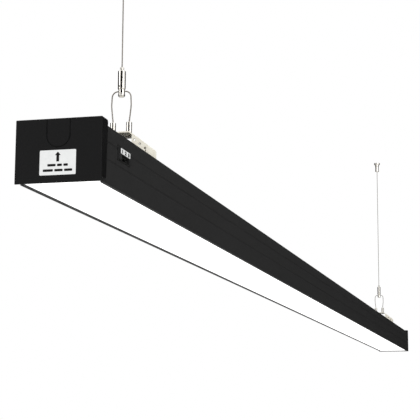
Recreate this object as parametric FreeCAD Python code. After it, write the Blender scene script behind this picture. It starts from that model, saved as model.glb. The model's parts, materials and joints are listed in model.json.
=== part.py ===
import FreeCAD, Part
import math
import os

# Hanging linear shop light, 8 ft, on two wire suspensions.
# Millimetres. Origin on the ceiling, midway between the two ceiling fittings.
# +Y runs along the light from its near end to its far end, +X is the selector side, +Z is up.

V = FreeCAD.Vector

# Driving dimensions of the light body
LIGHT_LENGTH = 2438.0
BODY_WIDTH = 74.0
BODY_HEIGHT = 50.0
WALL = 1.6
CORNER_RADIUS = 0.8
SLIDE_GAP = 0.3
FACE_SKIN = 0.01
OVERCUT = 1.0

# Diffuser channel, along the open underside
LIP_WIDTH = 3.0
LIP_THICKNESS = 1.6
DIFFUSER_THICKNESS = 1.5
LEDGE_DEPTH = 1.8
LEDGE_THICKNESS = 1.2

# Web that carries the LED boards below and the driver above
WEB_HEIGHT = 24.0
BOARD_WIDTH = 42.0
BOARD_THICKNESS = 1.2
BOARD_RIB = 1.0
BOARD_RIB_GAP = 0.2
LED_COUNT = 28
LED_LENGTH = 3.5
LED_WIDTH = 2.8
LED_THICKNESS = 0.8

# Hanger rail, along the top
DECK_DROP = 3.0
RAIL_LIP_WIDTH = 3.4
RAIL_LIP_THICKNESS = 1.2

# Screw ports and the two shallow grooves on each side
PORT_BORE = 2.8
PORT_WALL = 1.3
PORT_SLIT = 1.2
SIDE_GROOVE_WIDTH = 2.2
SIDE_GROOVE_DEPTH = 0.35
SIDE_GROOVE_DROPS = (14.75, 29.75)

# End caps, which pull up
CAP_PLATE = 2.0
CAP_SKIRT = 1.0
CAP_TOP = 2.0
CAP_RISE = 4.0
CAP_OVERHANG = 0.5
CAP_DEPTH = 15.6
CAP_FOOT_DEPTH = 12.8
CAP_SKIRT_RISE = 3.4
CAP_REAR_RADIUS = 2.6
CAP_EDGE_RADIUS = 0.7
CAP_RIB_WIDTH = 1.2
KNOCKOUT_RADIUS = 10.3
KNOCKOUT_DROP = 14.3
KNOCKOUT_GROOVE = 1.2
KNOCKOUT_DEPTH = 0.7
T_RAIL_OFFSET = 24.0
T_NECK = 2.4
T_HEAD = 6.0
T_HEAD_THICKNESS = 2.0
T_LIP = 1.6
T_RAIL_START = 4.0
T_RAIL_TOP_DROP = 4.0
CAP_RIB_OFFSETS = (12.0, 34.0)

# End frames, which guide the caps
BODY_SETBACK = 10.0
FRAME_THICKNESS = 6.0
FRAME_INSET = 0.5
FRAME_START = 3.8
FRAME_TOP_DROP = 0.8
WINDOW_WIDTH = 36.0
WINDOW_FLOOR = 1.9
WINDOW_HEIGHT = 16.5
SCREW_HEAD = 5.2
SCREW_HEAD_HEIGHT = 2.2
SCREW_SHANK = 2.6
SCREW_LENGTH = 11.0
SCREW_CLEARANCE = 0.3
SCREW_SEAT = 3.0
SCREW_RECESS = 2.1
SCREW_RECESS_DEPTH = 1.1

# Electrical pieces inside
TERMINAL_INSET = 28.0
TERMINAL_OFFSET = -14.0
TERMINAL_SIZE = (32.0, 20.0, 12.0)
TERMINAL_POLE_COUNT = 3
TERMINAL_ENTRY = 3.4
TERMINAL_ENTRY_DEPTH = 10.0
TERMINAL_ENTRY_HEIGHT = 4.0
LEAD_ENTRY_HEIGHT = 8.0
LEVER_WIDTH = 5.4
LEVER_START = 4.0
LEVER_LENGTH = 6.0
LEVER_DEPTH = 4.0
DRIVER_INSET = 420.0
DRIVER_OFFSET = 18.0
DRIVER_SIZE = (28.0, 300.0)
DRIVER_HEADROOM = 3.8
DRIVER_SHEET = 1.0
LEAD_HOLE = (9.0, 4.0)
LEAD_PITCH = 4.0
LEAD_RUN = 40.0
LEAD_BEND = 30.0
LID_RIB_COUNT = 6
LID_RIB_LENGTH = 18.0
LID_RIB_WIDTH = 2.0
LID_RIB_HEIGHT = 1.0
BOARD_STANDOFF = 1.6
STANDOFF_DIAMETER = 3.2
STANDOFF_SPACING = (18.0, 252.0)
PARTS_HEADROOM = 8.5
TRANSFORMER_SIZE = (16.0, 30.0)
TRANSFORMER_INSET = 120.0
COIL_DIAMETER = 12.0
COIL_BORE = 5.4
COIL_PLACE = (-5.5, 60.0)
CAPACITOR_DIAMETER = 11.0
CAPACITOR_OFFSET = 5.5
CAPACITOR_INSETS = (204.0, 240.0)
WIRE_DIAMETER = 2.2

# Colour-temperature selector on the +X side
SELECTOR_CENTRE = 61.5
SELECTOR_LENGTH = 34.6
SELECTOR_HEIGHT = 13.0
SELECTOR_FLOOR = 0.5
SELECTOR_PROUD = 0.5
SELECTOR_DEPTH = 9.0
SELECTOR_FLANGE = 1.5
SELECTOR_FLANGE_LIP = 2.0
WINDOW_GAP = 0.2
SLOT_LENGTH = 29.0
SLOT_HEIGHT = 5.5
SLOT_DEPTH = 2.6
SLOT_FLOOR = 0.9
SLOT_SHIFT = -1.0
LABEL_PAD_LENGTH = 26.6
LABEL_PAD_HEIGHT = 5.4
LABEL_PAD_DEPTH = 0.2
LABEL_PAD_SHIFT = 3.4
LABEL_PAD_MARGIN = 0.5
KNOB_LENGTH = 8.0
KNOB_PROUD = 0.4
KNOB_GROOVE_COUNT = 3
KNOB_GROOVE_WIDTH = 0.8
STEM_LENGTH = 3.0
STEM_HEIGHT = 1.8
STEM_DEPTH = 3.0

# Suspensions
NEAR_CLIP_INSET = 162.0
FAR_CLIP_INSET = 296.0
SUSPENSION_DROP = 396.0
CABLE_DIAMETER = 1.2
CABLE_TAIL = 1.25

# Spring clip that hooks under the rail lips
CLIP_SHEET = 1.2
CLIP_LENGTH = 26.0
CLIP_RISE = 26.0
CLIP_FLAT = 25.0
CLIP_SHOULDER_DROP = 15.0
CLIP_BEND = 1.6
CLIP_EDGE_BEND = 0.3
FOOT_REACH = 2.6
GUSSET_DEPTH = 8.0
GUSSET_START = 15.0
GUSSET_HOLE = 2.2
GUSSET_HOLE_COUNT = 3
GUSSET_HOLE_PITCH = 5.4
GUSSET_RELIEF = 0.8
GUSSET_RELIEF_DEPTH = 2.7
GUSSET_RELIEF_INSET = 2.2

# Loop of wire between the clip and the gripper
LOOP_SPACING = 16.2
LOOP_WIDTH = 19.8
LOOP_BOW_HEIGHT = 16.0
LOOP_CROWN_WIDTH = 18.4
LOOP_CROWN_BEND = 5.8
LOOP_BOW_BEND = 40.0
LOOP_FOOT_BEND = 12.0
LOOP_RISE = 42.5
FERRULE_DIAMETER = 5.6
FERRULE_HEIGHT = 12.0
FERRULE_NECK = 3.4
FERRULE_FLARE = 5.0
FERRULE_FLARE_HEIGHT = 1.4
FERRULE_CHAMFER = 0.5

# Cable gripper
GRIPPER_DIAMETER = 7.6
GRIPPER_ABOVE = 20.5
GRIPPER_BELOW = 5.6
GRIPPER_WAIST = 6.2
GRIPPER_WAIST_HEIGHT = 3.6
GRIPPER_CHAMFER = 0.7
CROSS_HOLE_CLEARANCE = 0.08
CABLE_SEAT = 3.4
GRIP_CHAMBER_RADIUS = 3.0
GRIP_CHAMBER_FLOOR = 8.4
GRIP_CHAMBER_TOP = 17.0
GRIP_CONE_LOW = 12.0
GRIP_CONE_HIGH = 14.8
GRIP_CONE_RADIUS = 2.6
GRIP_BALL_RADIUS = 1.0
GRIP_BALL_HEIGHT = 13.6
GRIP_BALL_COUNT = 3
GRIP_BALL_GAP = 0.1
EXIT_HOLE = 2.2
EXIT_HOLE_HEIGHT = 6.4
EXIT_HOLE_TURN = -31.0
EXIT_HOLE_SLOPE = 0.5
EXIT_HOLE_START = 1.4
PLUNGER_DIAMETER = 3.8
PLUNGER_BORE = 1.9
PLUNGER_PROUD = 3.6
PLUNGER_FLANGE = 5.0
PLUNGER_FLANGE_HEIGHT = 1.2
PLUNGER_TAIL = 11.8
SPRING_WIRE = 0.36
SPRING_QUARTER_COUNT = 10
SPRING_RADIUS = 1.6
RUNNING_CLEARANCE = 0.06

# Ceiling fitting
BASE_DIAMETER = 14.0
BASE_HEIGHT = 4.6
SPIGOT_DIAMETER = 6.4
SPIGOT_LENGTH = 4.4
CEILING_SCREW_RADIUS = 1.7
COUNTERSINK_RADIUS = 2.8
COUNTERSINK_DEPTH = 1.6
FITTING_HEIGHT = 21.5
FITTING_DIAMETER = 9.0
FITTING_WAIST = 8.2
FITTING_SHOULDER = 3.4
FITTING_TAPER = 2.2
FITTING_CHAMFER = 0.7
BALL_RADIUS = 2.5
SEAT_WALL = 0.74
SEAT_RIM = 0.8
SEAT_HOLE_RADIUS = 1.45
SOCKET_HOLE_RADIUS = 1.9
BALL_HEIGHT = 4.4
EXIT_CONE_RADIUS = 2.3

# Places that follow from the sizes above
CLIP_SPACING = LIGHT_LENGTH - NEAR_CLIP_INSET - FAR_CLIP_INSET
HALF_WIDTH = BODY_WIDTH / 2
INNER_HALF = HALF_WIDTH - WALL
BODY_TOP = -SUSPENSION_DROP
BODY_BASE = BODY_TOP - BODY_HEIGHT
NEAR_Y = -CLIP_SPACING / 2
FAR_Y = CLIP_SPACING / 2
NEAR_FACE = NEAR_Y - NEAR_CLIP_INSET
FAR_FACE = NEAR_FACE + LIGHT_LENGTH
DECK_TOP = BODY_HEIGHT - DECK_DROP
WEB_TOP = WEB_HEIGHT + WALL
CHAMBER_TOP = DECK_TOP - WALL
DRIVER_HEIGHT = CHAMBER_TOP - WEB_TOP - DRIVER_HEADROOM
PARTS_HEIGHT = DRIVER_HEIGHT - PARTS_HEADROOM
DIFFUSER_TOP = LIP_THICKNESS + DIFFUSER_THICKNESS
LEDGE_BASE = DIFFUSER_TOP + SLIDE_GAP
RAIL_SLOT_TOP = BODY_HEIGHT - RAIL_LIP_THICKNESS
CAP_HALF = HALF_WIDTH + SLIDE_GAP + CAP_SKIRT
CAP_CEILING = BODY_HEIGHT + CAP_RISE - CAP_TOP
FRAME_FRONT = BODY_SETBACK - FRAME_THICKNESS
T_HEAD_FRONT = FRAME_FRONT + T_LIP + SLIDE_GAP
PORT_RADIUS = PORT_BORE / 2
PORT_OUTER = PORT_RADIUS + PORT_WALL
PORT_X = INNER_HALF - PORT_OUTER + PORT_WALL / 2
PORT_HEIGHTS = (CHAMBER_TOP - PORT_OUTER + PORT_WALL / 2, WEB_HEIGHT - PORT_OUTER + PORT_WALL / 2)
CLIP_TOP = BODY_HEIGHT + CLIP_RISE
CROSS_HEIGHT = CLIP_TOP + LOOP_RISE
BALL_Z = -FITTING_HEIGHT + BALL_HEIGHT
WIRE_RADIUS = CABLE_DIAMETER / 2


def block(x0, x1, y0, y1, z0, z1):
    """Box between two corners."""
    return Part.makeBox(x1 - x0, y1 - y0, z1 - z0, V(x0, y0, z0))


def disc(radius, z0, z1, x=0.0, y=0.0):
    """Upright cylinder between two heights."""
    return Part.makeCylinder(radius, z1 - z0, V(x, y, z0), V(0, 0, 1))


def rod_y(radius, y0, y1, x, z):
    """Cylinder along Y."""
    return Part.makeCylinder(radius, y1 - y0, V(x, y0, z), V(0, 1, 0))


def rod_x(radius, x0, x1, y, z):
    """Cylinder along X."""
    return Part.makeCylinder(radius, x1 - x0, V(x0, y, z), V(1, 0, 0))


def fuse(shapes):
    """One solid from several that touch."""
    return shapes[0].multiFuse(shapes[1:]).removeSplitter()


def revolve(profile):
    """Solid of revolution about Z from (radius, height) corners."""
    wire = Part.makePolygon([V(r, 0, z) for r, z in profile + profile[:1]])
    return Part.Face(wire).revolve(V(0, 0, 0), V(0, 0, 1), 360)


def rounded_outline(corners, radii):
    """Closed wire through the corners, each rounded by its radius."""
    edges = []
    starts = []
    ends = []
    count = len(corners)
    for i, corner in enumerate(corners):
        to_last = (corners[i - 1] - corner).normalize()
        to_next = (corners[(i + 1) % count] - corner).normalize()
        reach = radii[i] / math.tan(to_last.getAngle(to_next) / 2)
        starts.append(corner + to_last * reach)
        ends.append(corner + to_next * reach)
        if radii[i] > 0:
            edges.append(tangent_arc(starts[i], corner, ends[i]))
    lines = []
    for i in range(count):
        start = ends[i]
        end = starts[(i + 1) % count]
        if start.distanceToPoint(end) > 1e-6:
            lines.append(Part.LineSegment(start, end).toShape())
    return Part.Wire(Part.__sortEdges__(edges + lines))


def section(corners, radii=None):
    """Face in the XZ plane from (x, z) corners."""
    points = [V(x, 0, z) for x, z in corners]
    return Part.Face(rounded_outline(points, radii or [0.0] * len(points)))


def rectangle(half, z0, z1, radius=0.0):
    """Face in the XZ plane, centred on x = 0."""
    return section([(-half, z0), (half, z0), (half, z1), (-half, z1)], [radius] * 4)


def round_face(x, z, radius):
    """Round face in the XZ plane."""
    return Part.Face(Part.Wire(Part.makeCircle(radius, V(x, 0, z), V(0, 1, 0))))


def at(shape, x=0.0, y=0.0, z=0.0):
    """Copy of the shape, moved."""
    moved = shape.copy()
    moved.translate(V(x, y, z))
    return moved


def at_end(shape, end):
    """A piece drawn for the near end (y = 0 at the cap's face), placed at one end of the light."""
    placed = shape.copy()
    if end == "far":
        placed.rotate(V(0, 0, 0), V(0, 0, 1), 180)
    placed.translate(V(0, NEAR_FACE if end == "near" else FAR_FACE, BODY_BASE))
    return placed


# --- light body ---------------------------------------------------------------------------------


def body_section():
    """Cross-section of the aluminium extrusion, with z = 0 at its underside."""
    outline = rectangle(HALF_WIDTH, 0.0, BODY_HEIGHT, CORNER_RADIUS)
    ledge_top = LEDGE_BASE + LEDGE_THICKNESS
    hollows = [
        rectangle(HALF_WIDTH - LIP_WIDTH, -OVERCUT, LIP_THICKNESS),
        rectangle(INNER_HALF, LIP_THICKNESS, LEDGE_BASE),
        rectangle(INNER_HALF - LEDGE_DEPTH, LEDGE_BASE, ledge_top),
        rectangle(INNER_HALF, ledge_top, WEB_HEIGHT),
        rectangle(INNER_HALF, WEB_TOP, CHAMBER_TOP),
        rectangle(INNER_HALF, DECK_TOP, RAIL_SLOT_TOP),
        rectangle(INNER_HALF - RAIL_LIP_WIDTH, RAIL_SLOT_TOP, BODY_HEIGHT + OVERCUT),
    ]
    for drop in SIDE_GROOVE_DROPS:
        middle = BODY_HEIGHT - drop
        for side in (-1, 1):
            x0 = side * (HALF_WIDTH - SIDE_GROOVE_DEPTH)
            x1 = side * (HALF_WIDTH + OVERCUT)
            low = middle - SIDE_GROOVE_WIDTH / 2
            high = middle + SIDE_GROOVE_WIDTH / 2
            hollows.append(section([(x0, low), (x1, low), (x1, high), (x0, high)]))
    shell = outline.cut(hollows[0])
    for hollow in hollows[1:]:
        shell = shell.cut(hollow)
    additions = []
    for side in (-1, 1):
        for height in PORT_HEIGHTS:
            port = round_face(side * PORT_X, height, PORT_OUTER)
            slit_end = side * (PORT_X - PORT_OUTER - OVERCUT)
            slit = section(
                [
                    (side * PORT_X, height - PORT_SLIT / 2),
                    (slit_end, height - PORT_SLIT / 2),
                    (slit_end, height + PORT_SLIT / 2),
                    (side * PORT_X, height + PORT_SLIT / 2),
                ]
            )
            additions.append(port.cut(slit))
        rib_inner = side * (BOARD_WIDTH / 2 + BOARD_RIB_GAP)
        rib_outer = rib_inner + side * BOARD_RIB
        rib_lip = rib_inner - side * BOARD_RIB
        lip_top = WEB_HEIGHT - BOARD_THICKNESS - BOARD_RIB_GAP
        lip_base = lip_top - BOARD_RIB
        additions.append(
            section(
                [
                    (rib_outer, WEB_HEIGHT),
                    (rib_outer, lip_base),
                    (rib_lip, lip_base),
                    (rib_lip, lip_top),
                    (rib_inner, lip_top),
                    (rib_inner, WEB_HEIGHT),
                ]
            )
        )
    shell = shell.multiFuse(additions).removeSplitter()
    for side in (-1, 1):
        for height in PORT_HEIGHTS:
            shell = shell.cut(round_face(side * PORT_X, height, PORT_RADIUS))
    return shell


def selector_bounds(grow):
    """(y0, y1, z0, z1) of the selector's bezel, grown on every side."""
    y0 = SELECTOR_CENTRE - SELECTOR_LENGTH / 2 - grow
    y1 = SELECTOR_CENTRE + SELECTOR_LENGTH / 2 + grow
    z0 = WEB_TOP + SELECTOR_FLOOR - grow
    z1 = WEB_TOP + SELECTOR_FLOOR + SELECTOR_HEIGHT + grow
    return y0, y1, z0, z1


def housing_extrusion():
    """The long black extrusion: open underside, web, upper chamber, hanger rail and selector window."""
    length = LIGHT_LENGTH - 2 * BODY_SETBACK
    body = body_section().Faces[0].extrude(V(0, length, 0))
    body = at(body, y=BODY_SETBACK)
    y0, y1, z0, z1 = selector_bounds(WINDOW_GAP)
    window = block(INNER_HALF - OVERCUT, HALF_WIDTH + OVERCUT, y0, y1, z0, z1)
    return at_end(body.cut(window), "near")


def diffuser():
    """Flat opal strip that slides in above the two lips and runs on under both end frames."""
    clear = CAP_PLATE + SLIDE_GAP
    half = INNER_HALF - SLIDE_GAP
    strip = block(-half, half, clear, LIGHT_LENGTH - clear, LIP_THICKNESS, DIFFUSER_TOP)
    return at_end(strip, "near")


def led_board(end):
    """One of the two aluminium LED boards under the web."""
    length = LIGHT_LENGTH / 2 - BODY_SETBACK - 2 * SLIDE_GAP
    half = BOARD_WIDTH / 2
    start = BODY_SETBACK + SLIDE_GAP
    board = block(-half, half, start, start + length, WEB_HEIGHT - BOARD_THICKNESS, WEB_HEIGHT)
    return at_end(board, end)


def led_row(end):
    """The LED packages of one board."""
    top = WEB_HEIGHT - BOARD_THICKNESS
    pitch = (LIGHT_LENGTH / 2 - BODY_SETBACK) / LED_COUNT
    base = top - LED_THICKNESS
    across = LED_WIDTH / 2
    along = LED_LENGTH / 2
    chips = []
    for i in range(LED_COUNT):
        y = BODY_SETBACK + pitch * (i + 0.5)
        chips.append(block(-across, across, y - along, y + along, base, top))
    return at_end(Part.makeCompound(chips), end)


def on_web(shape):
    """A piece of the driver, drawn about x = 0 from y = 0, placed on the web."""
    return at(shape, DRIVER_OFFSET, DRIVER_INSET + NEAR_FACE, BODY_BASE + WEB_TOP)


def driver_case():
    """Open-topped sheet tray of the driver, with a slot for its leads in its near end."""
    width, length = DRIVER_SIZE
    height = DRIVER_HEIGHT
    half = width / 2
    inner = half - DRIVER_SHEET
    tray = block(-half, half, 0, length, 0, height - DRIVER_SHEET)
    hollow = block(-inner, inner, DRIVER_SHEET, length - DRIVER_SHEET, DRIVER_SHEET, height)
    wide, high = LEAD_HOLE
    low = LEAD_ENTRY_HEIGHT - high / 2
    slot = block(-wide / 2, wide / 2, -OVERCUT, DRIVER_SHEET + OVERCUT, low, low + high)
    return on_web(tray.cut(hollow).cut(slot))


def driver_lid():
    """Flat lid of the driver, with a ribbed top."""
    width, length = DRIVER_SIZE
    height = DRIVER_HEIGHT
    plate = block(-width / 2, width / 2, 0, length, height - DRIVER_SHEET, height)
    across = LID_RIB_LENGTH / 2
    along = LID_RIB_WIDTH / 2
    ribs = []
    for i in range(LID_RIB_COUNT):
        y = length * (i + 1) / (LID_RIB_COUNT + 1)
        ribs.append(block(-across, across, y - along, y + along, height, height + LID_RIB_HEIGHT))
    return on_web(fuse([plate] + ribs))


def driver_board():
    """Circuit board in the driver, on four standoffs, with its transformer, coil and two capacitors."""
    width, length = DRIVER_SIZE
    inset = DRIVER_SHEET + SLIDE_GAP
    base = DRIVER_SHEET + BOARD_STANDOFF
    top = base + BOARD_THICKNESS
    high = top + PARTS_HEIGHT
    half = width / 2 - inset
    board = block(-half, half, inset, length - inset, base, top)
    wide, long = TRANSFORMER_SIZE
    transformer = block(-wide / 2, wide / 2, TRANSFORMER_INSET, TRANSFORMER_INSET + long, top, high)
    coil = disc(COIL_DIAMETER / 2, top, high, *COIL_PLACE).cut(disc(COIL_BORE / 2, top, high, *COIL_PLACE))
    pieces = [board, transformer, coil]
    for y in CAPACITOR_INSETS:
        pieces.append(disc(CAPACITOR_DIAMETER / 2, top, high, CAPACITOR_OFFSET, y))
    across, along = STANDOFF_SPACING
    for side in (-1, 1):
        for end in (-1, 1):
            x = side * across / 2
            y = (length + end * along) / 2
            pieces.append(disc(STANDOFF_DIAMETER / 2, DRIVER_SHEET, base, x, y))
    return on_web(fuse(pieces))


def pole_places():
    """x of each pole of a terminal block."""
    pitch = TERMINAL_SIZE[0] / TERMINAL_POLE_COUNT
    middle = (TERMINAL_POLE_COUNT - 1) / 2
    return [TERMINAL_OFFSET + pitch * (i - middle) for i in range(TERMINAL_POLE_COUNT)]


def terminal_block(end):
    """Push-in terminal block in the wiring bay behind an end cap, on the same side at both ends."""
    width, length, height = TERMINAL_SIZE
    side = 1 if end == "near" else -1
    middle = side * TERMINAL_OFFSET
    body = block(middle - width / 2, middle + width / 2, 0, length, 0, height)
    half = LEVER_WIDTH / 2
    lever_end = LEVER_START + LEVER_LENGTH
    for place in pole_places():
        x = side * place
        entry = rod_y(TERMINAL_ENTRY / 2, -OVERCUT, TERMINAL_ENTRY_DEPTH, x, TERMINAL_ENTRY_HEIGHT)
        lever = block(x - half, x + half, LEVER_START, lever_end, height - LEVER_DEPTH, height + OVERCUT)
        body = body.cut(entry).cut(lever)
    return at_end(at(body, y=TERMINAL_INSET, z=WEB_TOP), end)


def through_wires():
    """Wires laid straight along the web, one for each pole, from one terminal block to the other."""
    radius = WIRE_DIAMETER / 2
    start = TERMINAL_INSET + TERMINAL_SIZE[1]
    wires = [rod_y(radius, start, LIGHT_LENGTH - start, x, WEB_TOP + radius) for x in pole_places()]
    return at_end(Part.makeCompound(wires), "near")


def driver_leads():
    """Two leads from the near terminal block into the slot of the driver's case."""
    start = TERMINAL_INSET + TERMINAL_SIZE[1]
    end = DRIVER_INSET + DRIVER_SHEET
    z = WEB_TOP + LEAD_ENTRY_HEIGHT
    leads = []
    for i, pole in enumerate(pole_places()[-2:]):
        x = DRIVER_OFFSET + LEAD_PITCH * (i - 0.5)
        route = [V(pole, start, z), V(pole, start + LEAD_RUN, z), V(x, end - LEAD_RUN, z), V(x, end, z)]
        leads.append(round_bar(route, WIRE_DIAMETER / 2, [LEAD_BEND, LEAD_BEND]))
    return at_end(Part.makeCompound(leads), "near")


def tangent_arc(start, corner, end):
    """Arc between two points that are equally far from a corner, tangent to both of its sides."""
    back = start - corner
    ahead = end - corner
    half = back.getAngle(ahead) / 2
    radius = back.Length * math.tan(half)
    towards = (back.normalize() + ahead.normalize()).normalize()
    return Part.Arc(start, corner + towards * (radius / math.sin(half) - radius), end).toShape()


def round_bar(route, radius, bends):
    """Round bar along straight runs, with an arc of the given bend radius at each inner point."""
    edges = []
    last = route[0]
    for i, bend in enumerate(bends, 1):
        corner = route[i]
        back = (route[i - 1] - corner).normalize()
        ahead = (route[i + 1] - corner).normalize()
        reach = bend / math.tan(back.getAngle(ahead) / 2)
        enter = corner + back * reach
        leave = corner + ahead * reach
        edges.append(Part.LineSegment(last, enter).toShape())
        edges.append(tangent_arc(enter, corner, leave))
        last = leave
    edges.append(Part.LineSegment(last, route[-1]).toShape())
    path = Part.Wire(edges)
    along = (route[1] - route[0]).normalize()
    rim = Part.Wire(Part.makeCircle(radius, route[0], along))
    return path.makePipeShell([rim], True, False)


# --- ends of the light --------------------------------------------------------------------------


def t_rail(x, z0, z1, grow):
    """T-shaped guide on the inside of the cap, or with grow the groove that it runs in."""
    neck = block(
        x - T_NECK / 2 - grow,
        x + T_NECK / 2 + grow,
        CAP_PLATE - FACE_SKIN,
        T_HEAD_FRONT + FACE_SKIN,
        z0,
        z1,
    )
    head = block(
        x - T_HEAD / 2 - grow,
        x + T_HEAD / 2 + grow,
        T_HEAD_FRONT - grow,
        T_HEAD_FRONT + T_HEAD_THICKNESS + grow,
        z0,
        z1,
    )
    return fuse([neck, head])


def end_cap(end):
    """Moulded cap: front plate, top, tapered side skirts, knock-out groove and two T-shaped guides."""
    top = BODY_HEIGHT + CAP_RISE
    side = [
        V(0, 0, -CAP_OVERHANG),
        V(0, CAP_PLATE, -CAP_OVERHANG),
        V(0, CAP_PLATE, CAP_SKIRT_RISE),
        V(0, CAP_FOOT_DEPTH, CAP_SKIRT_RISE),
        V(0, CAP_DEPTH, top),
        V(0, 0, top),
    ]
    outline = rounded_outline(side, [0.0, 0.0, 0.0, 0.0, CAP_REAR_RADIUS, CAP_EDGE_RADIUS])
    slab = at(Part.Face(outline).extrude(V(2 * CAP_HALF, 0, 0)), x=-CAP_HALF)
    upright = [e for e in slab.Edges if is_front_corner(e)]
    slab = slab.makeFillet(CAP_EDGE_RADIUS, upright)
    inside = block(
        -CAP_HALF + CAP_SKIRT,
        CAP_HALF - CAP_SKIRT,
        CAP_PLATE,
        CAP_DEPTH + OVERCUT,
        -CAP_OVERHANG - OVERCUT,
        CAP_CEILING,
    )
    cap = slab.cut(inside)
    pieces = [cap]
    guide_top = BODY_HEIGHT - T_RAIL_TOP_DROP
    for side in (-1, 1):
        pieces.append(t_rail(side * T_RAIL_OFFSET, T_RAIL_START, guide_top, 0.0))
        for x in CAP_RIB_OFFSETS:
            pieces.append(
                block(
                    side * x - CAP_RIB_WIDTH / 2,
                    side * x + CAP_RIB_WIDTH / 2,
                    CAP_PLATE - FACE_SKIN,
                    CAP_FOOT_DEPTH,
                    BODY_HEIGHT + SLIDE_GAP,
                    CAP_CEILING + FACE_SKIN,
                )
            )
    cap = fuse(pieces)
    return at_end(cap.cut(knockout_groove(top)), end)


def is_front_corner(edge):
    """True for the two upright edges of the cap's front face."""
    if len(edge.Vertexes) != 2:
        return False
    first, last = edge.Vertexes
    on_front = max(abs(first.Y), abs(last.Y)) < FACE_SKIN
    on_side = min(abs(first.X), abs(last.X)) > CAP_HALF - FACE_SKIN and first.X * last.X > 0
    return on_front and on_side and abs(first.Z - last.Z) > FACE_SKIN


def knockout_groove(top):
    """U-shaped groove that lets a cable slot be broken out of the cap's plate."""
    middle = top - KNOCKOUT_DROP
    crown_z = top + OVERCUT

    def u_face(radius):
        arc = Part.Arc(V(-radius, 0, middle), V(0, 0, middle - radius), V(radius, 0, middle)).toShape()
        corners = [(radius, middle), (radius, crown_z), (-radius, crown_z), (-radius, middle)]
        crown = Part.makePolygon([V(x, 0, z) for x, z in corners])
        return Part.Face(Part.Wire([arc] + crown.Edges))

    outer = u_face(KNOCKOUT_RADIUS + KNOCKOUT_GROOVE / 2)
    inner = u_face(KNOCKOUT_RADIUS - KNOCKOUT_GROOVE / 2)
    return at(outer.cut(inner).Faces[0].extrude(V(0, KNOCKOUT_DEPTH + OVERCUT, 0)), y=-OVERCUT)


def end_frame(end):
    """Frame screwed to the end of the extrusion: wiring window and the grooves that guide the cap."""
    half = HALF_WIDTH - FRAME_INSET
    top = BODY_HEIGHT - FRAME_TOP_DROP
    outline = rectangle(half, FRAME_START, top, CORNER_RADIUS)
    frame = at(outline.extrude(V(0, FRAME_THICKNESS, 0)), y=FRAME_FRONT)
    floor = WEB_TOP + WINDOW_FLOOR
    window = block(
        -WINDOW_WIDTH / 2,
        WINDOW_WIDTH / 2,
        FRAME_FRONT - OVERCUT,
        BODY_SETBACK + OVERCUT,
        floor,
        floor + WINDOW_HEIGHT,
    )
    frame = frame.cut(window)
    for side in (-1, 1):
        frame = frame.cut(t_rail(side * T_RAIL_OFFSET, FRAME_START - OVERCUT, top + OVERCUT, SLIDE_GAP))
        for height in PORT_HEIGHTS:
            x = side * PORT_X
            seat = BODY_SETBACK - SCREW_SEAT
            hole = rod_y(SCREW_SHANK / 2 + SCREW_CLEARANCE, FRAME_FRONT, BODY_SETBACK + OVERCUT, x, height)
            counterbore = rod_y(SCREW_HEAD / 2 + SCREW_CLEARANCE, FRAME_FRONT - OVERCUT, seat, x, height)
            frame = frame.cut(hole).cut(counterbore)
    return at_end(frame, end)


def frame_screws():
    """The screws that hold both end frames in the extrusion's ports."""
    seat = BODY_SETBACK - SCREW_SEAT
    face = seat - SCREW_HEAD_HEIGHT
    screws = []
    for side in (-1, 1):
        for height in PORT_HEIGHTS:
            x = side * PORT_X
            head = rod_y(SCREW_HEAD / 2, face, seat, x, height)
            shank = rod_y(SCREW_SHANK / 2, seat - FACE_SKIN, seat + SCREW_LENGTH, x, height)
            recess = rod_y(SCREW_RECESS / 2, face - OVERCUT, face + SCREW_RECESS_DEPTH, x, height)
            screw = fuse([head, shank]).cut(recess)
            screws.extend([at_end(screw, "near"), at_end(screw, "far")])
    return Part.makeCompound(screws)


# --- selector -----------------------------------------------------------------------------------


def selector_slot():
    """(y0, y1, z0, z1) of the recess that the knob runs in."""
    centre = SELECTOR_CENTRE + SLOT_SHIFT
    z0 = WEB_TOP + SELECTOR_FLOOR + SLOT_FLOOR
    return centre - SLOT_LENGTH / 2, centre + SLOT_LENGTH / 2, z0, z0 + SLOT_HEIGHT


def selector_body():
    """Switch body behind the window, with its bezel, knob recess and a shallow pad for its label."""
    y0, y1, z0, z1 = selector_bounds(0.0)
    face = HALF_WIDTH + SELECTOR_PROUD
    bezel = block(INNER_HALF - FACE_SKIN, face, y0, y1, z0, z1)
    back = INNER_HALF - SELECTOR_DEPTH
    flange = block(
        INNER_HALF - SELECTOR_FLANGE,
        INNER_HALF,
        y0 - SELECTOR_FLANGE_LIP,
        y1 + SELECTOR_FLANGE_LIP,
        WEB_TOP,
        z1 + SELECTOR_FLANGE_LIP,
    )
    body = block(back, INNER_HALF - SELECTOR_FLANGE + FACE_SKIN, y0, y1, WEB_TOP, z1)
    switch = fuse([bezel, flange, body])
    slot_y0, slot_y1, slot_z0, slot_z1 = selector_slot()
    recess = block(face - SLOT_DEPTH, face + OVERCUT, slot_y0, slot_y1, slot_z0, slot_z1)
    middle = (slot_z0 + slot_z1) / 2
    track_half = STEM_HEIGHT / 2 + SLIDE_GAP
    inset = (KNOB_LENGTH - STEM_LENGTH) / 2
    track = block(
        face - SLOT_DEPTH - STEM_DEPTH - 2 * SLIDE_GAP,
        face,
        slot_y0 + inset,
        slot_y1 - inset,
        middle - track_half,
        middle + track_half,
    )
    pad_centre = SELECTOR_CENTRE + LABEL_PAD_SHIFT
    pad_top = z1 - LABEL_PAD_MARGIN
    pad = block(
        face - LABEL_PAD_DEPTH,
        face + OVERCUT,
        pad_centre - LABEL_PAD_LENGTH / 2,
        pad_centre + LABEL_PAD_LENGTH / 2,
        pad_top - LABEL_PAD_HEIGHT,
        pad_top,
    )
    return at_end(switch.cut(recess).cut(track).cut(pad), "near")


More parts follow.
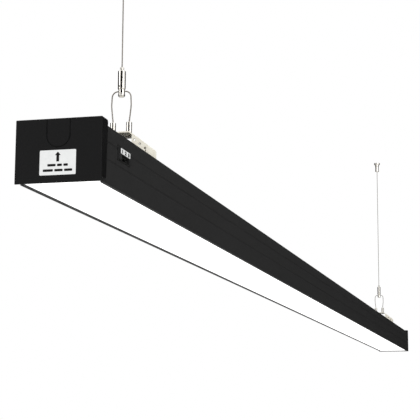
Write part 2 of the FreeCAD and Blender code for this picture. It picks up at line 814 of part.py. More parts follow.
def selector_board():
    """Small circuit board behind the switch body."""
    y0, y1, z0, z1 = selector_bounds(0.0)
    back = INNER_HALF - SELECTOR_DEPTH
    return at_end(block(back - BOARD_THICKNESS, back, y0, y1, WEB_TOP, z1), "near")


def selector_knob():
    """Ribbed thumb knob, standing at the near end of its recess."""
    slot_y0, slot_y1, slot_z0, slot_z1 = selector_slot()
    face = HALF_WIDTH + SELECTOR_PROUD
    y0 = slot_y0 + SLIDE_GAP
    y1 = y0 + KNOB_LENGTH
    seat = face - SLOT_DEPTH + SLIDE_GAP
    thumb = block(seat, face + KNOB_PROUD, y0, y1, slot_z0 + SLIDE_GAP, slot_z1 - SLIDE_GAP)
    middle_y = (y0 + y1) / 2
    middle_z = (slot_z0 + slot_z1) / 2
    stem = block(
        seat - SLIDE_GAP - STEM_DEPTH,
        seat + FACE_SKIN,
        middle_y - STEM_LENGTH / 2,
        middle_y + STEM_LENGTH / 2,
        middle_z - STEM_HEIGHT / 2,
        middle_z + STEM_HEIGHT / 2,
    )
    knob = fuse([thumb, stem])
    pitch = KNOB_LENGTH / (KNOB_GROOVE_COUNT + 1)
    half = KNOB_GROOVE_WIDTH / 2
    for i in range(KNOB_GROOVE_COUNT):
        y = y0 + pitch * (i + 1)
        knob = knob.cut(block(face, face + OVERCUT, y - half, y + half, slot_z0, slot_z1))
    return at_end(knob, "near")


# --- suspension ---------------------------------------------------------------------------------


def clip_levels():
    """Half width over the clip's legs, height of its feet and height of its shoulders."""
    leg = INNER_HALF - RAIL_LIP_WIDTH - SLIDE_GAP
    foot_base = DECK_TOP + SLIDE_GAP
    shoulder = CLIP_TOP - CLIP_SHOULDER_DROP
    return leg, foot_base, shoulder


def clip_band():
    """The bent strip of the clip, a closed band in the XZ plane."""
    leg, foot_base, shoulder = clip_levels()
    sheet = CLIP_SHEET
    slope = math.atan2(CLIP_SHOULDER_DROP, leg - CLIP_FLAT / 2)
    flat_in = CLIP_FLAT / 2 - sheet * math.tan(slope / 2)
    knee_in = shoulder - sheet * math.tan((math.pi / 2 - slope) / 2)
    toe = leg + FOOT_REACH
    right_out = [
        (CLIP_FLAT / 2, CLIP_TOP),
        (leg, shoulder),
        (leg, foot_base + sheet),
        (toe, foot_base + sheet),
        (toe, foot_base),
        (leg - sheet, foot_base),
        (leg - sheet, knee_in),
        (flat_in, CLIP_TOP - sheet),
    ]
    inner = CLIP_BEND
    outer = CLIP_BEND + sheet
    tight = CLIP_EDGE_BEND
    right_radii = [outer, outer, tight, tight, tight, tight, inner, inner]
    left = [(-x, z) for x, z in reversed(right_out)]
    return section(right_out + left, right_radii + list(reversed(right_radii)))


def clip_gusset(side):
    """Stiffening flange under one shoulder, with its row of holes and the relief slit at the bend."""
    leg = clip_levels()[0]
    slope = CLIP_SHOULDER_DROP / (leg - CLIP_FLAT / 2)

    def shoulder_height(x):
        return CLIP_TOP - slope * (x - CLIP_FLAT / 2) - CLIP_SHEET / 2

    low_end = leg - CLIP_SHEET / 2
    corners = [
        (side * GUSSET_START, shoulder_height(GUSSET_START)),
        (side * low_end, shoulder_height(low_end)),
        (side * low_end, shoulder_height(low_end) - GUSSET_DEPTH),
        (side * GUSSET_START, shoulder_height(GUSSET_START) - GUSSET_DEPTH),
    ]
    plate = section(corners)
    middle = (GUSSET_START + low_end) / 2
    for i in range(GUSSET_HOLE_COUNT):
        x = middle + GUSSET_HOLE_PITCH * (i - (GUSSET_HOLE_COUNT - 1) / 2)
        plate = plate.cut(round_face(side * x, shoulder_height(x) - GUSSET_DEPTH / 2, GUSSET_HOLE / 2))
    slit_x = low_end - GUSSET_RELIEF_INSET
    slit_end = shoulder_height(slit_x) - GUSSET_DEPTH
    near = side * (slit_x - GUSSET_RELIEF / 2)
    far = side * (slit_x + GUSSET_RELIEF / 2)
    low = slit_end - GUSSET_DEPTH
    high = slit_end + GUSSET_RELIEF_DEPTH
    return plate.cut(section([(near, low), (far, low), (far, high), (near, high)])).Faces[0]


def clip_bracket():
    """Roof-shaped spring clip whose turned-out feet run under the lips of the hanger rail."""
    half = CLIP_LENGTH / 2
    strip = at(clip_band().extrude(V(0, CLIP_LENGTH, 0)), y=-half)
    pieces = [strip]
    for side in (-1, 1):
        flange = clip_gusset(side).extrude(V(0, CLIP_SHEET, 0))
        pieces.append(at(flange, y=-half))
        pieces.append(at(flange, y=half - CLIP_SHEET))
    clip = fuse(pieces)
    for side in (-1, 1):
        x = side * LOOP_SPACING / 2
        clip = clip.cut(disc(FERRULE_NECK / 2, CLIP_TOP - 2 * CLIP_SHEET, CLIP_TOP + OVERCUT, x))
    return clip


def ferrule(side):
    """Crimped sleeve that stands on the clip, with a neck through it and a flare below."""
    outer = FERRULE_DIAMETER / 2
    neck = FERRULE_NECK / 2
    flare = FERRULE_FLARE / 2
    top = CLIP_TOP + FERRULE_HEIGHT
    under = CLIP_TOP - CLIP_SHEET
    profile = [
        (0.0, top),
        (outer - FERRULE_CHAMFER, top),
        (outer, top - FERRULE_CHAMFER),
        (outer, CLIP_TOP + FERRULE_CHAMFER),
        (outer - FERRULE_CHAMFER, CLIP_TOP),
        (neck, CLIP_TOP),
        (neck, under),
        (flare, under),
        (flare, under - FERRULE_FLARE_HEIGHT / 2),
        (neck, under - FERRULE_FLARE_HEIGHT),
        (0.0, under - FERRULE_FLARE_HEIGHT),
    ]
    sleeve = revolve(profile)
    bore = disc(WIRE_RADIUS, under - FERRULE_FLARE_HEIGHT - OVERCUT, top + OVERCUT)
    return at(sleeve.cut(bore), x=side * LOOP_SPACING / 2)


def loop_wire():
    """Wire loop: up from one ferrule, bowed out, through the gripper's cross hole and down again."""
    base = CLIP_TOP - CLIP_SHEET - FERRULE_FLARE_HEIGHT / 2
    collar = CLIP_TOP + FERRULE_HEIGHT
    right = [
        V(LOOP_CROWN_WIDTH / 2, 0, CROSS_HEIGHT),
        V(LOOP_WIDTH / 2, 0, collar + LOOP_BOW_HEIGHT),
        V(LOOP_SPACING / 2, 0, collar),
        V(LOOP_SPACING / 2, 0, base),
    ]
    left = [V(-point.x, 0, point.z) for point in reversed(right)]
    bends = [LOOP_FOOT_BEND, LOOP_BOW_BEND, LOOP_CROWN_BEND]
    return round_bar(left + right, WIRE_RADIUS, bends + bends[::-1])


def gripper_barrel():
    """Turned gripper body: waist with the cross hole, rounded foot, cable seat and plunger chamber."""
    radius = GRIPPER_DIAMETER / 2
    waist = GRIPPER_WAIST / 2
    half_waist = GRIPPER_WAIST_HEIGHT / 2
    foot_middle = (half_waist + GRIPPER_BELOW) / 2
    profile = [
        (0.0, GRIPPER_ABOVE),
        (radius - GRIPPER_CHAMFER, GRIPPER_ABOVE),
        (radius, GRIPPER_ABOVE - GRIPPER_CHAMFER),
        (radius, half_waist + GRIPPER_CHAMFER),
        (waist, half_waist),
        (waist, -half_waist),
        (radius - GRIPPER_CHAMFER / 2, -foot_middle),
        (radius - GRIPPER_CHAMFER, -GRIPPER_BELOW + GRIPPER_CHAMFER),
        (waist - GRIPPER_CHAMFER, -GRIPPER_BELOW),
        (0.0, -GRIPPER_BELOW),
    ]
    barrel = revolve(profile)
    neck = PLUNGER_DIAMETER / 2 + RUNNING_CLEARANCE
    neck_bore = disc(neck, GRIP_CHAMBER_TOP - FACE_SKIN, GRIPPER_ABOVE + OVERCUT)
    chamber = revolve(
        [
            (0.0, GRIP_CHAMBER_FLOOR),
            (GRIP_CHAMBER_RADIUS, GRIP_CHAMBER_FLOOR),
            (GRIP_CHAMBER_RADIUS, GRIP_CONE_LOW),
            (GRIP_CONE_RADIUS, GRIP_CONE_HIGH),
            (GRIP_CONE_RADIUS, GRIP_CHAMBER_TOP),
            (0.0, GRIP_CHAMBER_TOP),
        ]
    )
    seat = disc(WIRE_RADIUS, CABLE_SEAT, GRIP_CHAMBER_FLOOR + FACE_SKIN)
    cross = rod_x(WIRE_RADIUS + CROSS_HOLE_CLEARANCE, -radius - OVERCUT, radius + OVERCUT, 0.0, 0.0)
    barrel = barrel.cut(neck_bore).cut(chamber).cut(seat).cut(cross)
    turn = math.radians(EXIT_HOLE_TURN)
    outward = V(math.sin(turn), -math.cos(turn), -EXIT_HOLE_SLOPE)
    exit_start = V(0, 0, EXIT_HOLE_HEIGHT) + outward * EXIT_HOLE_START
    exit_hole = Part.makeCylinder(EXIT_HOLE / 2, GRIPPER_DIAMETER, exit_start, outward)
    return barrel.cut(exit_hole)


def grip_ball_centres():
    """Centres of the balls that pinch the cable."""
    reach = WIRE_RADIUS + GRIP_BALL_GAP + GRIP_BALL_RADIUS
    centres = []
    for i in range(GRIP_BALL_COUNT):
        turn = 2 * math.pi * i / GRIP_BALL_COUNT
        centres.append(V(reach * math.cos(turn), reach * math.sin(turn), GRIP_BALL_HEIGHT))
    return centres


def gripper_balls():
    """Balls in the plunger's windows, wedged between the cable and the barrel's cone."""
    return Part.makeCompound([Part.makeSphere(GRIP_BALL_RADIUS, centre) for centre in grip_ball_centres()])


def biarc(start, start_along, end, end_along):
    """Two arcs that join smoothly and leave and arrive along the given directions."""
    chord = end - start
    turn = 2 * (1 - start_along.dot(end_along))
    lean = chord.dot(start_along + end_along)
    reach = (math.sqrt(lean * lean + turn * chord.dot(chord)) - lean) / turn
    first = start + start_along * reach
    second = end - end_along * reach
    middle = (first + second) * 0.5
    return [tangent_arc(start, first, middle), tangent_arc(middle, second, end)]


def gripper_spring():
    """Coil spring of square wire under the plunger, open at both ends."""
    rise = PLUNGER_TAIL - GRIP_CHAMBER_FLOOR - SPRING_WIRE - 2 * RUNNING_CLEARANCE
    step = rise / SPRING_QUARTER_COUNT
    places = []
    for i in range(SPRING_QUARTER_COUNT + 1):
        turn = math.pi / 2 * i
        point = V(SPRING_RADIUS * math.cos(turn), SPRING_RADIUS * math.sin(turn), step * i)
        along = V(-math.sin(turn), math.cos(turn), step / (SPRING_RADIUS * math.pi / 2)).normalize()
        places.append((point, along))
    edges = []
    for first, second in zip(places, places[1:]):
        edges.extend(biarc(*first, *second))
    start, along = places[0]
    outward = V(1, 0, 0) * (SPRING_WIRE / 2)
    upward = V(1, 0, 0).cross(along) * (SPRING_WIRE / 2)
    corners = [start + outward + upward, start - outward + upward]
    corners += [start - outward - upward, start + outward - upward]
    rim = Part.makePolygon(corners + corners[:1])
    wire = Part.Wire(edges).makePipeShell([rim], True, False)
    return at(wire, z=GRIP_CHAMBER_FLOOR + RUNNING_CLEARANCE + SPRING_WIRE / 2)


def gripper_plunger():
    """Tubular release plunger, held in the barrel by its flange, with a window for each ball."""
    bore = PLUNGER_BORE / 2
    outer = PLUNGER_DIAMETER / 2
    flange_top = GRIP_CHAMBER_TOP - SLIDE_GAP
    flange_base = flange_top - PLUNGER_FLANGE_HEIGHT
    tail = PLUNGER_TAIL
    top = GRIPPER_ABOVE + PLUNGER_PROUD
    tail_outer = outer - RUNNING_CLEARANCE
    profile = [
        (bore, top),
        (outer - GRIPPER_CHAMFER / 2, top),
        (outer, top - GRIPPER_CHAMFER / 2),
        (outer, flange_top),
        (PLUNGER_FLANGE / 2, flange_top),
        (PLUNGER_FLANGE / 2, flange_base),
        (tail_outer, flange_base),
        (tail_outer, tail),
        (bore, tail),
    ]
    plunger = revolve(profile)
    start = V(0, 0, GRIP_BALL_HEIGHT)
    window = GRIP_BALL_RADIUS + RUNNING_CLEARANCE
    for centre in grip_ball_centres():
        plunger = plunger.cut(Part.makeCylinder(window, PLUNGER_DIAMETER, start, centre - start))
    return plunger


def suspension_cable():
    """Taut cable, from inside its ball down to its seat in the gripper."""
    top = BALL_Z + CABLE_TAIL
    base = BODY_BASE + CROSS_HEIGHT + CABLE_SEAT + SLIDE_GAP
    return disc(WIRE_RADIUS, base, top)


def cable_ball():
    """Ball cast on the cable's upper end."""
    ball = Part.makeSphere(BALL_RADIUS, V(0, 0, BALL_Z))
    bore = disc(WIRE_RADIUS, BALL_Z - BALL_RADIUS - OVERCUT, BALL_Z + CABLE_TAIL)
    return ball.cut(bore)


def ball_seat():
    """Nylon cup that the ball turns in and that itself turns in the fitting's socket."""
    inner = BALL_RADIUS + RUNNING_CLEARANCE
    outer = inner + SEAT_WALL
    shell = Part.makeSphere(outer, V(0, 0, BALL_Z)).cut(Part.makeSphere(inner, V(0, 0, BALL_Z)))
    shell = shell.cut(disc(outer + OVERCUT, BALL_Z + SEAT_RIM, BALL_Z + outer + OVERCUT))
    return shell.cut(disc(SEAT_HOLE_RADIUS, BALL_Z - outer - OVERCUT, BALL_Z))


def ceiling_base():
    """Flanged base, screwed to the ceiling through its middle."""
    outer = BASE_DIAMETER / 2
    spigot = SPIGOT_DIAMETER / 2
    end = -BASE_HEIGHT - SPIGOT_LENGTH
    edge = FITTING_CHAMFER
    profile = [
        (CEILING_SCREW_RADIUS, 0.0),
        (outer, 0.0),
        (outer, -BASE_HEIGHT + edge),
        (outer - edge, -BASE_HEIGHT),
        (spigot, -BASE_HEIGHT),
        (spigot, end),
        (COUNTERSINK_RADIUS, end),
        (CEILING_SCREW_RADIUS, end + COUNTERSINK_DEPTH),
    ]
    return revolve(profile)


def ceiling_cap():
    """Cap screwed on the base's spigot: waisted outside, spherical socket and flared exit inside."""
    outer = FITTING_DIAMETER / 2
    waist = FITTING_WAIST / 2
    bottom = -FITTING_HEIGHT
    taper_end = FITTING_SHOULDER + FITTING_TAPER
    edge = FITTING_CHAMFER
    profile = [
        (0.0, -BASE_HEIGHT),
        (outer, -BASE_HEIGHT),
        (outer, -BASE_HEIGHT - FITTING_SHOULDER),
        (waist, -BASE_HEIGHT - taper_end),
        (waist, bottom + taper_end),
        (outer, bottom + FITTING_SHOULDER),
        (outer, bottom + edge),
        (outer - edge, bottom),
        (0.0, bottom),
    ]
    cap = revolve(profile)
    socket_radius = BALL_RADIUS + SEAT_WALL + 2 * RUNNING_CLEARANCE
    screw_room = disc(SPIGOT_DIAMETER / 2, -BASE_HEIGHT - SPIGOT_LENGTH, -BASE_HEIGHT)
    ball_room = disc(socket_radius, BALL_Z, -BASE_HEIGHT - SPIGOT_LENGTH + FACE_SKIN)
    socket = Part.makeSphere(socket_radius, V(0, 0, BALL_Z))
    depth = BALL_HEIGHT + OVERCUT
    widen = (EXIT_CONE_RADIUS - SOCKET_HOLE_RADIUS) * depth / BALL_HEIGHT
    mouth = SOCKET_HOLE_RADIUS + widen
    flare = Part.makeCone(SOCKET_HOLE_RADIUS, mouth, depth, V(0, 0, BALL_Z), V(0, 0, -1))
    return cap.cut(screw_room).cut(ball_room).cut(socket).cut(flare)


def suspension(end):
    """Every piece of one suspension, in place, by node name."""
    y = NEAR_Y if end == "near" else FAR_Y
    gripper_z = BODY_BASE + CROSS_HEIGHT
    return {
        f"ceiling_base_{end}": at(ceiling_base(), y=y),
        f"ceiling_cap_{end}": at(ceiling_cap(), y=y),
        f"ball_seat_{end}": at(ball_seat(), y=y),
        f"cable_ball_{end}": at(cable_ball(), y=y),
        f"suspension_cable_{end}": at(suspension_cable(), y=y),
        f"gripper_barrel_{end}": at(gripper_barrel(), y=y, z=gripper_z),
        f"gripper_plunger_{end}": at(gripper_plunger(), y=y, z=gripper_z),
        f"gripper_balls_{end}": at(gripper_balls(), y=y, z=gripper_z),
        f"gripper_spring_{end}": at(gripper_spring(), y=y, z=gripper_z),
        f"loop_wire_{end}": at(loop_wire(), y=y, z=BODY_BASE),
        f"ferrule_left_{end}": at(ferrule(-1), y=y, z=BODY_BASE),
        f"ferrule_right_{end}": at(ferrule(1), y=y, z=BODY_BASE),
        f"clip_bracket_{end}": at(clip_bracket(), y=y, z=BODY_BASE),
    }


def light_ends(end):
    """The pieces that both ends of the light have, by node name."""
    return {
        f"led_board_{end}": led_board(end),
        f"led_row_{end}": led_row(end),
        f"terminal_block_{end}": terminal_block(end),
        f"end_frame_{end}": end_frame(end),
        f"end_cap_{end}": end_cap(end),
    }


def build():
    """All nodes of the light, by name."""
    nodes = {
        "housing_extrusion": housing_extrusion(),
        "diffuser": diffuser(),
        "driver_case": driver_case(),
        "driver_lid": driver_lid(),
        "driver_board": driver_board(),
        "through_wires": through_wires(),
        "driver_leads": driver_leads(),
        "frame_screws": frame_screws(),
        "selector_body": selector_body(),
        "selector_board": selector_board(),
        "selector_knob": selector_knob(),
    }
    for end in ("near", "far"):
        nodes.update(light_ends(end))
        nodes.update(suspension(end))
    return nodes


os.makedirs("parts", exist_ok=True)
for node, shape in build().items():
    print(f"{node}: {len(shape.Solids)} solid(s), {shape.Volume:.1f} mm3, valid {shape.isValid()}")
    shape.exportStep(f"parts/{node}.step")
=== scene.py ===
"""Hanging linear shop light: finishes, cables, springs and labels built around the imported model.

Metres. Origin on the ceiling, midway between the two ceiling fittings; +Y runs along the light
from its near end to its far end, +X is the selector side, +Z is up.
"""

import json
import logging
import math
from dataclasses import dataclass, field
from enum import Enum

import bmesh
import bpy
from mathutils import Matrix, Vector


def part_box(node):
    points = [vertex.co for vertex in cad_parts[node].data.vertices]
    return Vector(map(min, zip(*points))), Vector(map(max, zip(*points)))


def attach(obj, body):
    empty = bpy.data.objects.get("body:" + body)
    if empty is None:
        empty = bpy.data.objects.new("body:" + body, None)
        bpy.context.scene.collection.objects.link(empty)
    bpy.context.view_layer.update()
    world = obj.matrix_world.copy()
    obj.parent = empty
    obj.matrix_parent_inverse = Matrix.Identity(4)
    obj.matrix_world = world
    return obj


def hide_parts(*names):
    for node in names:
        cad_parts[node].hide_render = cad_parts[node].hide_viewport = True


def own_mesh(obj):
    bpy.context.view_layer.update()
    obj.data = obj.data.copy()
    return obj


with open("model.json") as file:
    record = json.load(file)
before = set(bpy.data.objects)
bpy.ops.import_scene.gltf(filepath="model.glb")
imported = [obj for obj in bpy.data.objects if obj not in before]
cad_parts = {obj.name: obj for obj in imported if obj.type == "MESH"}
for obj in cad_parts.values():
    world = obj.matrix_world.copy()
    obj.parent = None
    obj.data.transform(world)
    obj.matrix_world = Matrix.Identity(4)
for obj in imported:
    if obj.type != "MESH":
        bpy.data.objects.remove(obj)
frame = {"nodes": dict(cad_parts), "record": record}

LOG = logging.getLogger("shop_light")
MM = 0.001

Colour = tuple[float, float, float]
Point = tuple[float, float, float]
FlatPoint = tuple[float, float]
Range = tuple[float, float]
Socket = bpy.types.NodeSocket

# Relief: the shares of a fine and a broad noise in the shade, and how the broad one's waves
# compare with the fine one's.
RELIEF_WAVES = 2500.0
FINE_SHARE = 0.4
BROAD_SHARE = 0.6
BROAD_TO_FINE = 0.13
SHADE_RANGE: Range = (0.3, 0.7)

# Edges and recesses: how far the softened normal turns along an edge, the noise that breaks up
# the wear, how closed in a recess is, and the near-black of the painted shade put in recesses.
EDGE_SAMPLES = 6
EDGE_TURN: Range = (0.02, 0.25)
WEAR_WAVES = 260.0
WEAR_RANGE: Range = (0.42, 0.66)
LEAST_WEAR = 0.25
RECESS_SAMPLES = 8
RECESS_REACH = 3.0 * MM
RECESS_RANGE: Range = (0.1, 0.6)
RECESS_SHADE_COLOUR: Colour = (0.02, 0.016, 0.012)

# Handling: smudges anywhere, and dust on faces that look up.
SMUDGE_RANGE: Range = (0.35, 0.7)
UPWARD_RANGE: Range = (0.6, 1.0)
SPECK_WAVES = 900.0
SPECK_RANGE: Range = (0.5, 0.75)
DUST_COLOUR: Colour = (0.5, 0.48, 0.45)

# The smoothest that a smudge's swing may make a surface, and the points on a plate's round corner.
LEAST_ROUGHNESS = 0.02
CORNER_POINTS = 5


class End(Enum):
    """One of the light's two ends."""

    NEAR = "near"
    FAR = "far"


class Grain(Enum):
    """How a surface's fine relief runs, as how much it is stretched along X, Y and Z."""

    SPARK = (1.0, 1.0, 1.0)
    TURNED = (0.15, 0.15, 2.5)
    BRUSHED = (0.05, 1.0, 0.4)


def with_alpha(colour: Colour) -> tuple[float, float, float, float]:
    """The colour as Blender's sockets take it."""
    return (*colour, 1.0)


def scaled(colour: Colour, factor: float) -> Colour:
    """The colour, lighter or darker."""
    return tuple(min(1.0, part * factor) for part in colour)


# --- node helpers and shared effects --------------------------------------------------------------


class Graph:
    """Adds nodes to one tree and joins them."""

    def __init__(self, tree: bpy.types.NodeTree) -> None:
        """Keeps the tree, emptied."""
        self.tree = tree
        tree.nodes.clear()

    def add(self, kind: str, **settings: object) -> bpy.types.Node:
        """Adds a node.

        Args:
            kind: The node's type, as Blender names it.
            settings: Attributes to set on it.

        Returns:
            The new node.
        """
        node = self.tree.nodes.new(kind)
        for name, value in settings.items():
            setattr(node, name, value)
        return node

    def put(self, socket: Socket, value: object) -> None:
        """Feeds an input socket.

        Args:
            socket: The input.
            value: An output socket to link, or a plain value.
        """
        if isinstance(value, bpy.types.NodeSocket):
            self.tree.links.new(value, socket)
        else:
            socket.default_value = value

    def combine(self, operation: str, first: object, second: object) -> Socket:
        """Combines two values by arithmetic.

        Args:
            operation: Blender's name for it.
            first: A socket or a number.
            second: A socket or a number.

        Returns:
            The result's socket.
        """
        node = self.add("ShaderNodeMath", operation=operation)
        self.put(node.inputs[0], first)
        self.put(node.inputs[1], second)
        return node.outputs[0]

    def noise(self, vector: Socket, scale: object, detail: float = 2.0) -> Socket:
        """Adds a noise field.

        Args:
            vector: Where it is read.
            scale: Waves to the metre, as a socket or a number.
            detail: Octaves.

        Returns:
            Its value, about 0.5 on average.
        """
        node = self.add("ShaderNodeTexNoise")
        self.put(node.inputs["Vector"], vector)
        self.put(node.inputs["Scale"], scale)
        self.put(node.inputs["Detail"], detail)
        return node.outputs["Fac"]

    def remap(self, value: Socket, source: Range, target: Range = (0.0, 1.0)) -> Socket:
        """Moves a value smoothly from one range to another, clamped.

        Args:
            value: The value.
            source: The range that it is read in.
            target: The range that it is put in.

        Returns:
            The moved value's socket.
        """
        node = self.add("ShaderNodeMapRange", interpolation_type="SMOOTHSTEP")
        self.put(node.inputs["Value"], value)
        self.put(node.inputs["From Min"], source[0])
        self.put(node.inputs["From Max"], source[1])
        self.put(node.inputs["To Min"], target[0])
        self.put(node.inputs["To Max"], target[1])
        return node.outputs["Result"]

    def mix(self, factor: object, first: object, second: object) -> Socket:
        """Mixes two colours.

        Args:
            factor: 0 gives the first and 1 the second.
            first: A socket or a colour with alpha.
            second: A socket or a colour with alpha.

        Returns:
            The mixed colour's socket.
        """
        node = self.add("ShaderNodeMix", data_type="RGBA")
        self.put(node.inputs["Factor"], factor)
        self.put(node.inputs["A"], first)
        self.put(node.inputs["B"], second)
        return node.outputs["Result"]


class SharedEffect:
    """A shader node group that several materials place, each with its own values."""

    def __init__(self, name: str, takes: dict[str, tuple[str, object]], gives: dict[str, str]) -> None:
        """Makes the group's sockets.

        Args:
            name: The group's name.
            takes: Inputs, from name to socket type and default value.
            gives: Outputs, from name to socket type.
        """
        self.tree = bpy.data.node_groups.new(name, "ShaderNodeTree")
        self.graph = Graph(self.tree)
        for label, (kind, default) in takes.items():
            socket = self.tree.interface.new_socket(label, in_out="INPUT", socket_type=kind)
            socket.default_value = default
        for label, kind in gives.items():
            self.tree.interface.new_socket(label, in_out="OUTPUT", socket_type=kind)
        self.source = self.graph.add("NodeGroupInput").outputs
        self.result = self.graph.add("NodeGroupOutput").inputs

    def place(self, graph: Graph, **values: object) -> bpy.types.NodeOutputs:
        """Places the group in a material.

        Args:
            graph: The material's graph.
            values: The group's inputs by name.

        Returns:
            The placed group's outputs.
        """
        node = graph.add("ShaderNodeGroup", node_tree=self.tree)
        for name, value in values.items():
            graph.put(node.inputs[name], value)
        return node.outputs


def relief_effect() -> SharedEffect:
    """Builds the fine relief of a moulded, coated, brushed or turned surface.

    Returns:
        The effect, which gives a height and a shade, both from 0 to 1.
    """
    effect = SharedEffect(
        "surface_relief",
        {
            "Stretch": ("NodeSocketVector", Grain.SPARK.value),
            "Waves": ("NodeSocketFloat", RELIEF_WAVES),
        },
        {"Height": "NodeSocketFloat", "Shade": "NodeSocketFloat"},
    )
    graph = effect.graph
    waves = effect.source["Waves"]
    place = graph.add("ShaderNodeTexCoord").outputs["Object"]
    stretched = graph.add("ShaderNodeVectorMath", operation="MULTIPLY")
    graph.put(stretched.inputs[0], place)
    graph.put(stretched.inputs[1], effect.source["Stretch"])
    fine = graph.noise(stretched.outputs[0], waves, detail=3.0)
    broad = graph.noise(stretched.outputs[0], graph.combine("MULTIPLY", waves, BROAD_TO_FINE))
    fine_part = graph.combine("MULTIPLY", fine, FINE_SHARE)
    broad_part = graph.combine("MULTIPLY", broad, BROAD_SHARE)
    graph.put(effect.result["Height"], fine)
    graph.put(effect.result["Shade"], graph.combine("ADD", fine_part, broad_part))
    return effect


def edge_effect() -> SharedEffect:
    """Builds soft edges, the mask of their wear and the mask of painted shade in holes and corners.

    Returns:
        The effect, which gives the softened normal, a mask that is 1 along sharp edges and one
        that rises to 1 in recesses, for painted shade.
    """
    effect = SharedEffect(
        "soft_edge",
        {
            "Radius": ("NodeSocketFloat", 0.6 * MM),
            "Amount": ("NodeSocketFloat", 0.5),
            "Reach": ("NodeSocketFloat", RECESS_REACH),
        },
        {"Normal": "NodeSocketVector", "Wear": "NodeSocketFloat", "Recess": "NodeSocketFloat"},
    )
    graph = effect.graph
    soft = graph.add("ShaderNodeBevel", samples=EDGE_SAMPLES)
    graph.put(soft.inputs["Radius"], effect.source["Radius"])
    plain = graph.add("ShaderNodeNewGeometry").outputs["Normal"]
    agreement = graph.add("ShaderNodeVectorMath", operation="DOT_PRODUCT")
    graph.put(agreement.inputs[0], soft.outputs["Normal"])
    graph.put(agreement.inputs[1], plain)
    mask = graph.remap(graph.combine("SUBTRACT", 1.0, agreement.outputs["Value"]), EDGE_TURN)
    place = graph.add("ShaderNodeTexCoord").outputs["Object"]
    broken = graph.remap(graph.noise(place, WEAR_WAVES, detail=3.0), WEAR_RANGE, (LEAST_WEAR, 1.0))
    worn = graph.combine("MULTIPLY", graph.combine("MULTIPLY", mask, broken), effect.source["Amount"])
    # Painted shade: occlusion within the part gives a mask that is 1 in holes, bores and corners.
    hollow = graph.add("ShaderNodeAmbientOcclusion", samples=RECESS_SAMPLES, only_local=True)
    graph.put(hollow.inputs["Distance"], effect.source["Reach"])
    closed = graph.combine("SUBTRACT", 1.0, hollow.outputs["AO"])
    graph.put(effect.result["Normal"], soft.outputs["Normal"])
    graph.put(effect.result["Wear"], worn)
    graph.put(effect.result["Recess"], graph.remap(closed, RECESS_RANGE))
    return effect


def handling_effect() -> SharedEffect:
    """Builds the smudges and settled dust that change a surface's gloss and colour.

    Returns:
        The effect, which gives a smudge mask and a dust mask on upward faces.
    """
    effect = SharedEffect(
        "handling",
        {"Size": ("NodeSocketFloat", 20.0 * MM)},
        {"Smudge": "NodeSocketFloat", "Dust": "NodeSocketFloat"},
    )
    graph = effect.graph
    place = graph.add("ShaderNodeTexCoord").outputs["Object"]
    waves = graph.combine("DIVIDE", 1.0, effect.source["Size"])
    split = graph.add("ShaderNodeSeparateXYZ")
    graph.put(split.inputs[0], graph.add("ShaderNodeNewGeometry").outputs["Normal"])
    upward = graph.remap(split.outputs["Z"], UPWARD_RANGE)
    specks = graph.remap(graph.noise(place, SPECK_WAVES, detail=4.0), SPECK_RANGE)
    smudges = graph.noise(place, waves, detail=4.0)
    graph.put(effect.result["Smudge"], graph.remap(smudges, SMUDGE_RANGE))
    graph.put(effect.result["Dust"], graph.combine("MULTIPLY", upward, specks))
    return effect


@dataclass
class Effects:
    """The shared effects, each built once."""

    relief: SharedEffect = field(default_factory=relief_effect)
    edge: SharedEffect = field(default_factory=edge_effect)
    handling: SharedEffect = field(default_factory=handling_effect)


# --- finishes -------------------------------------------------------------------------------------


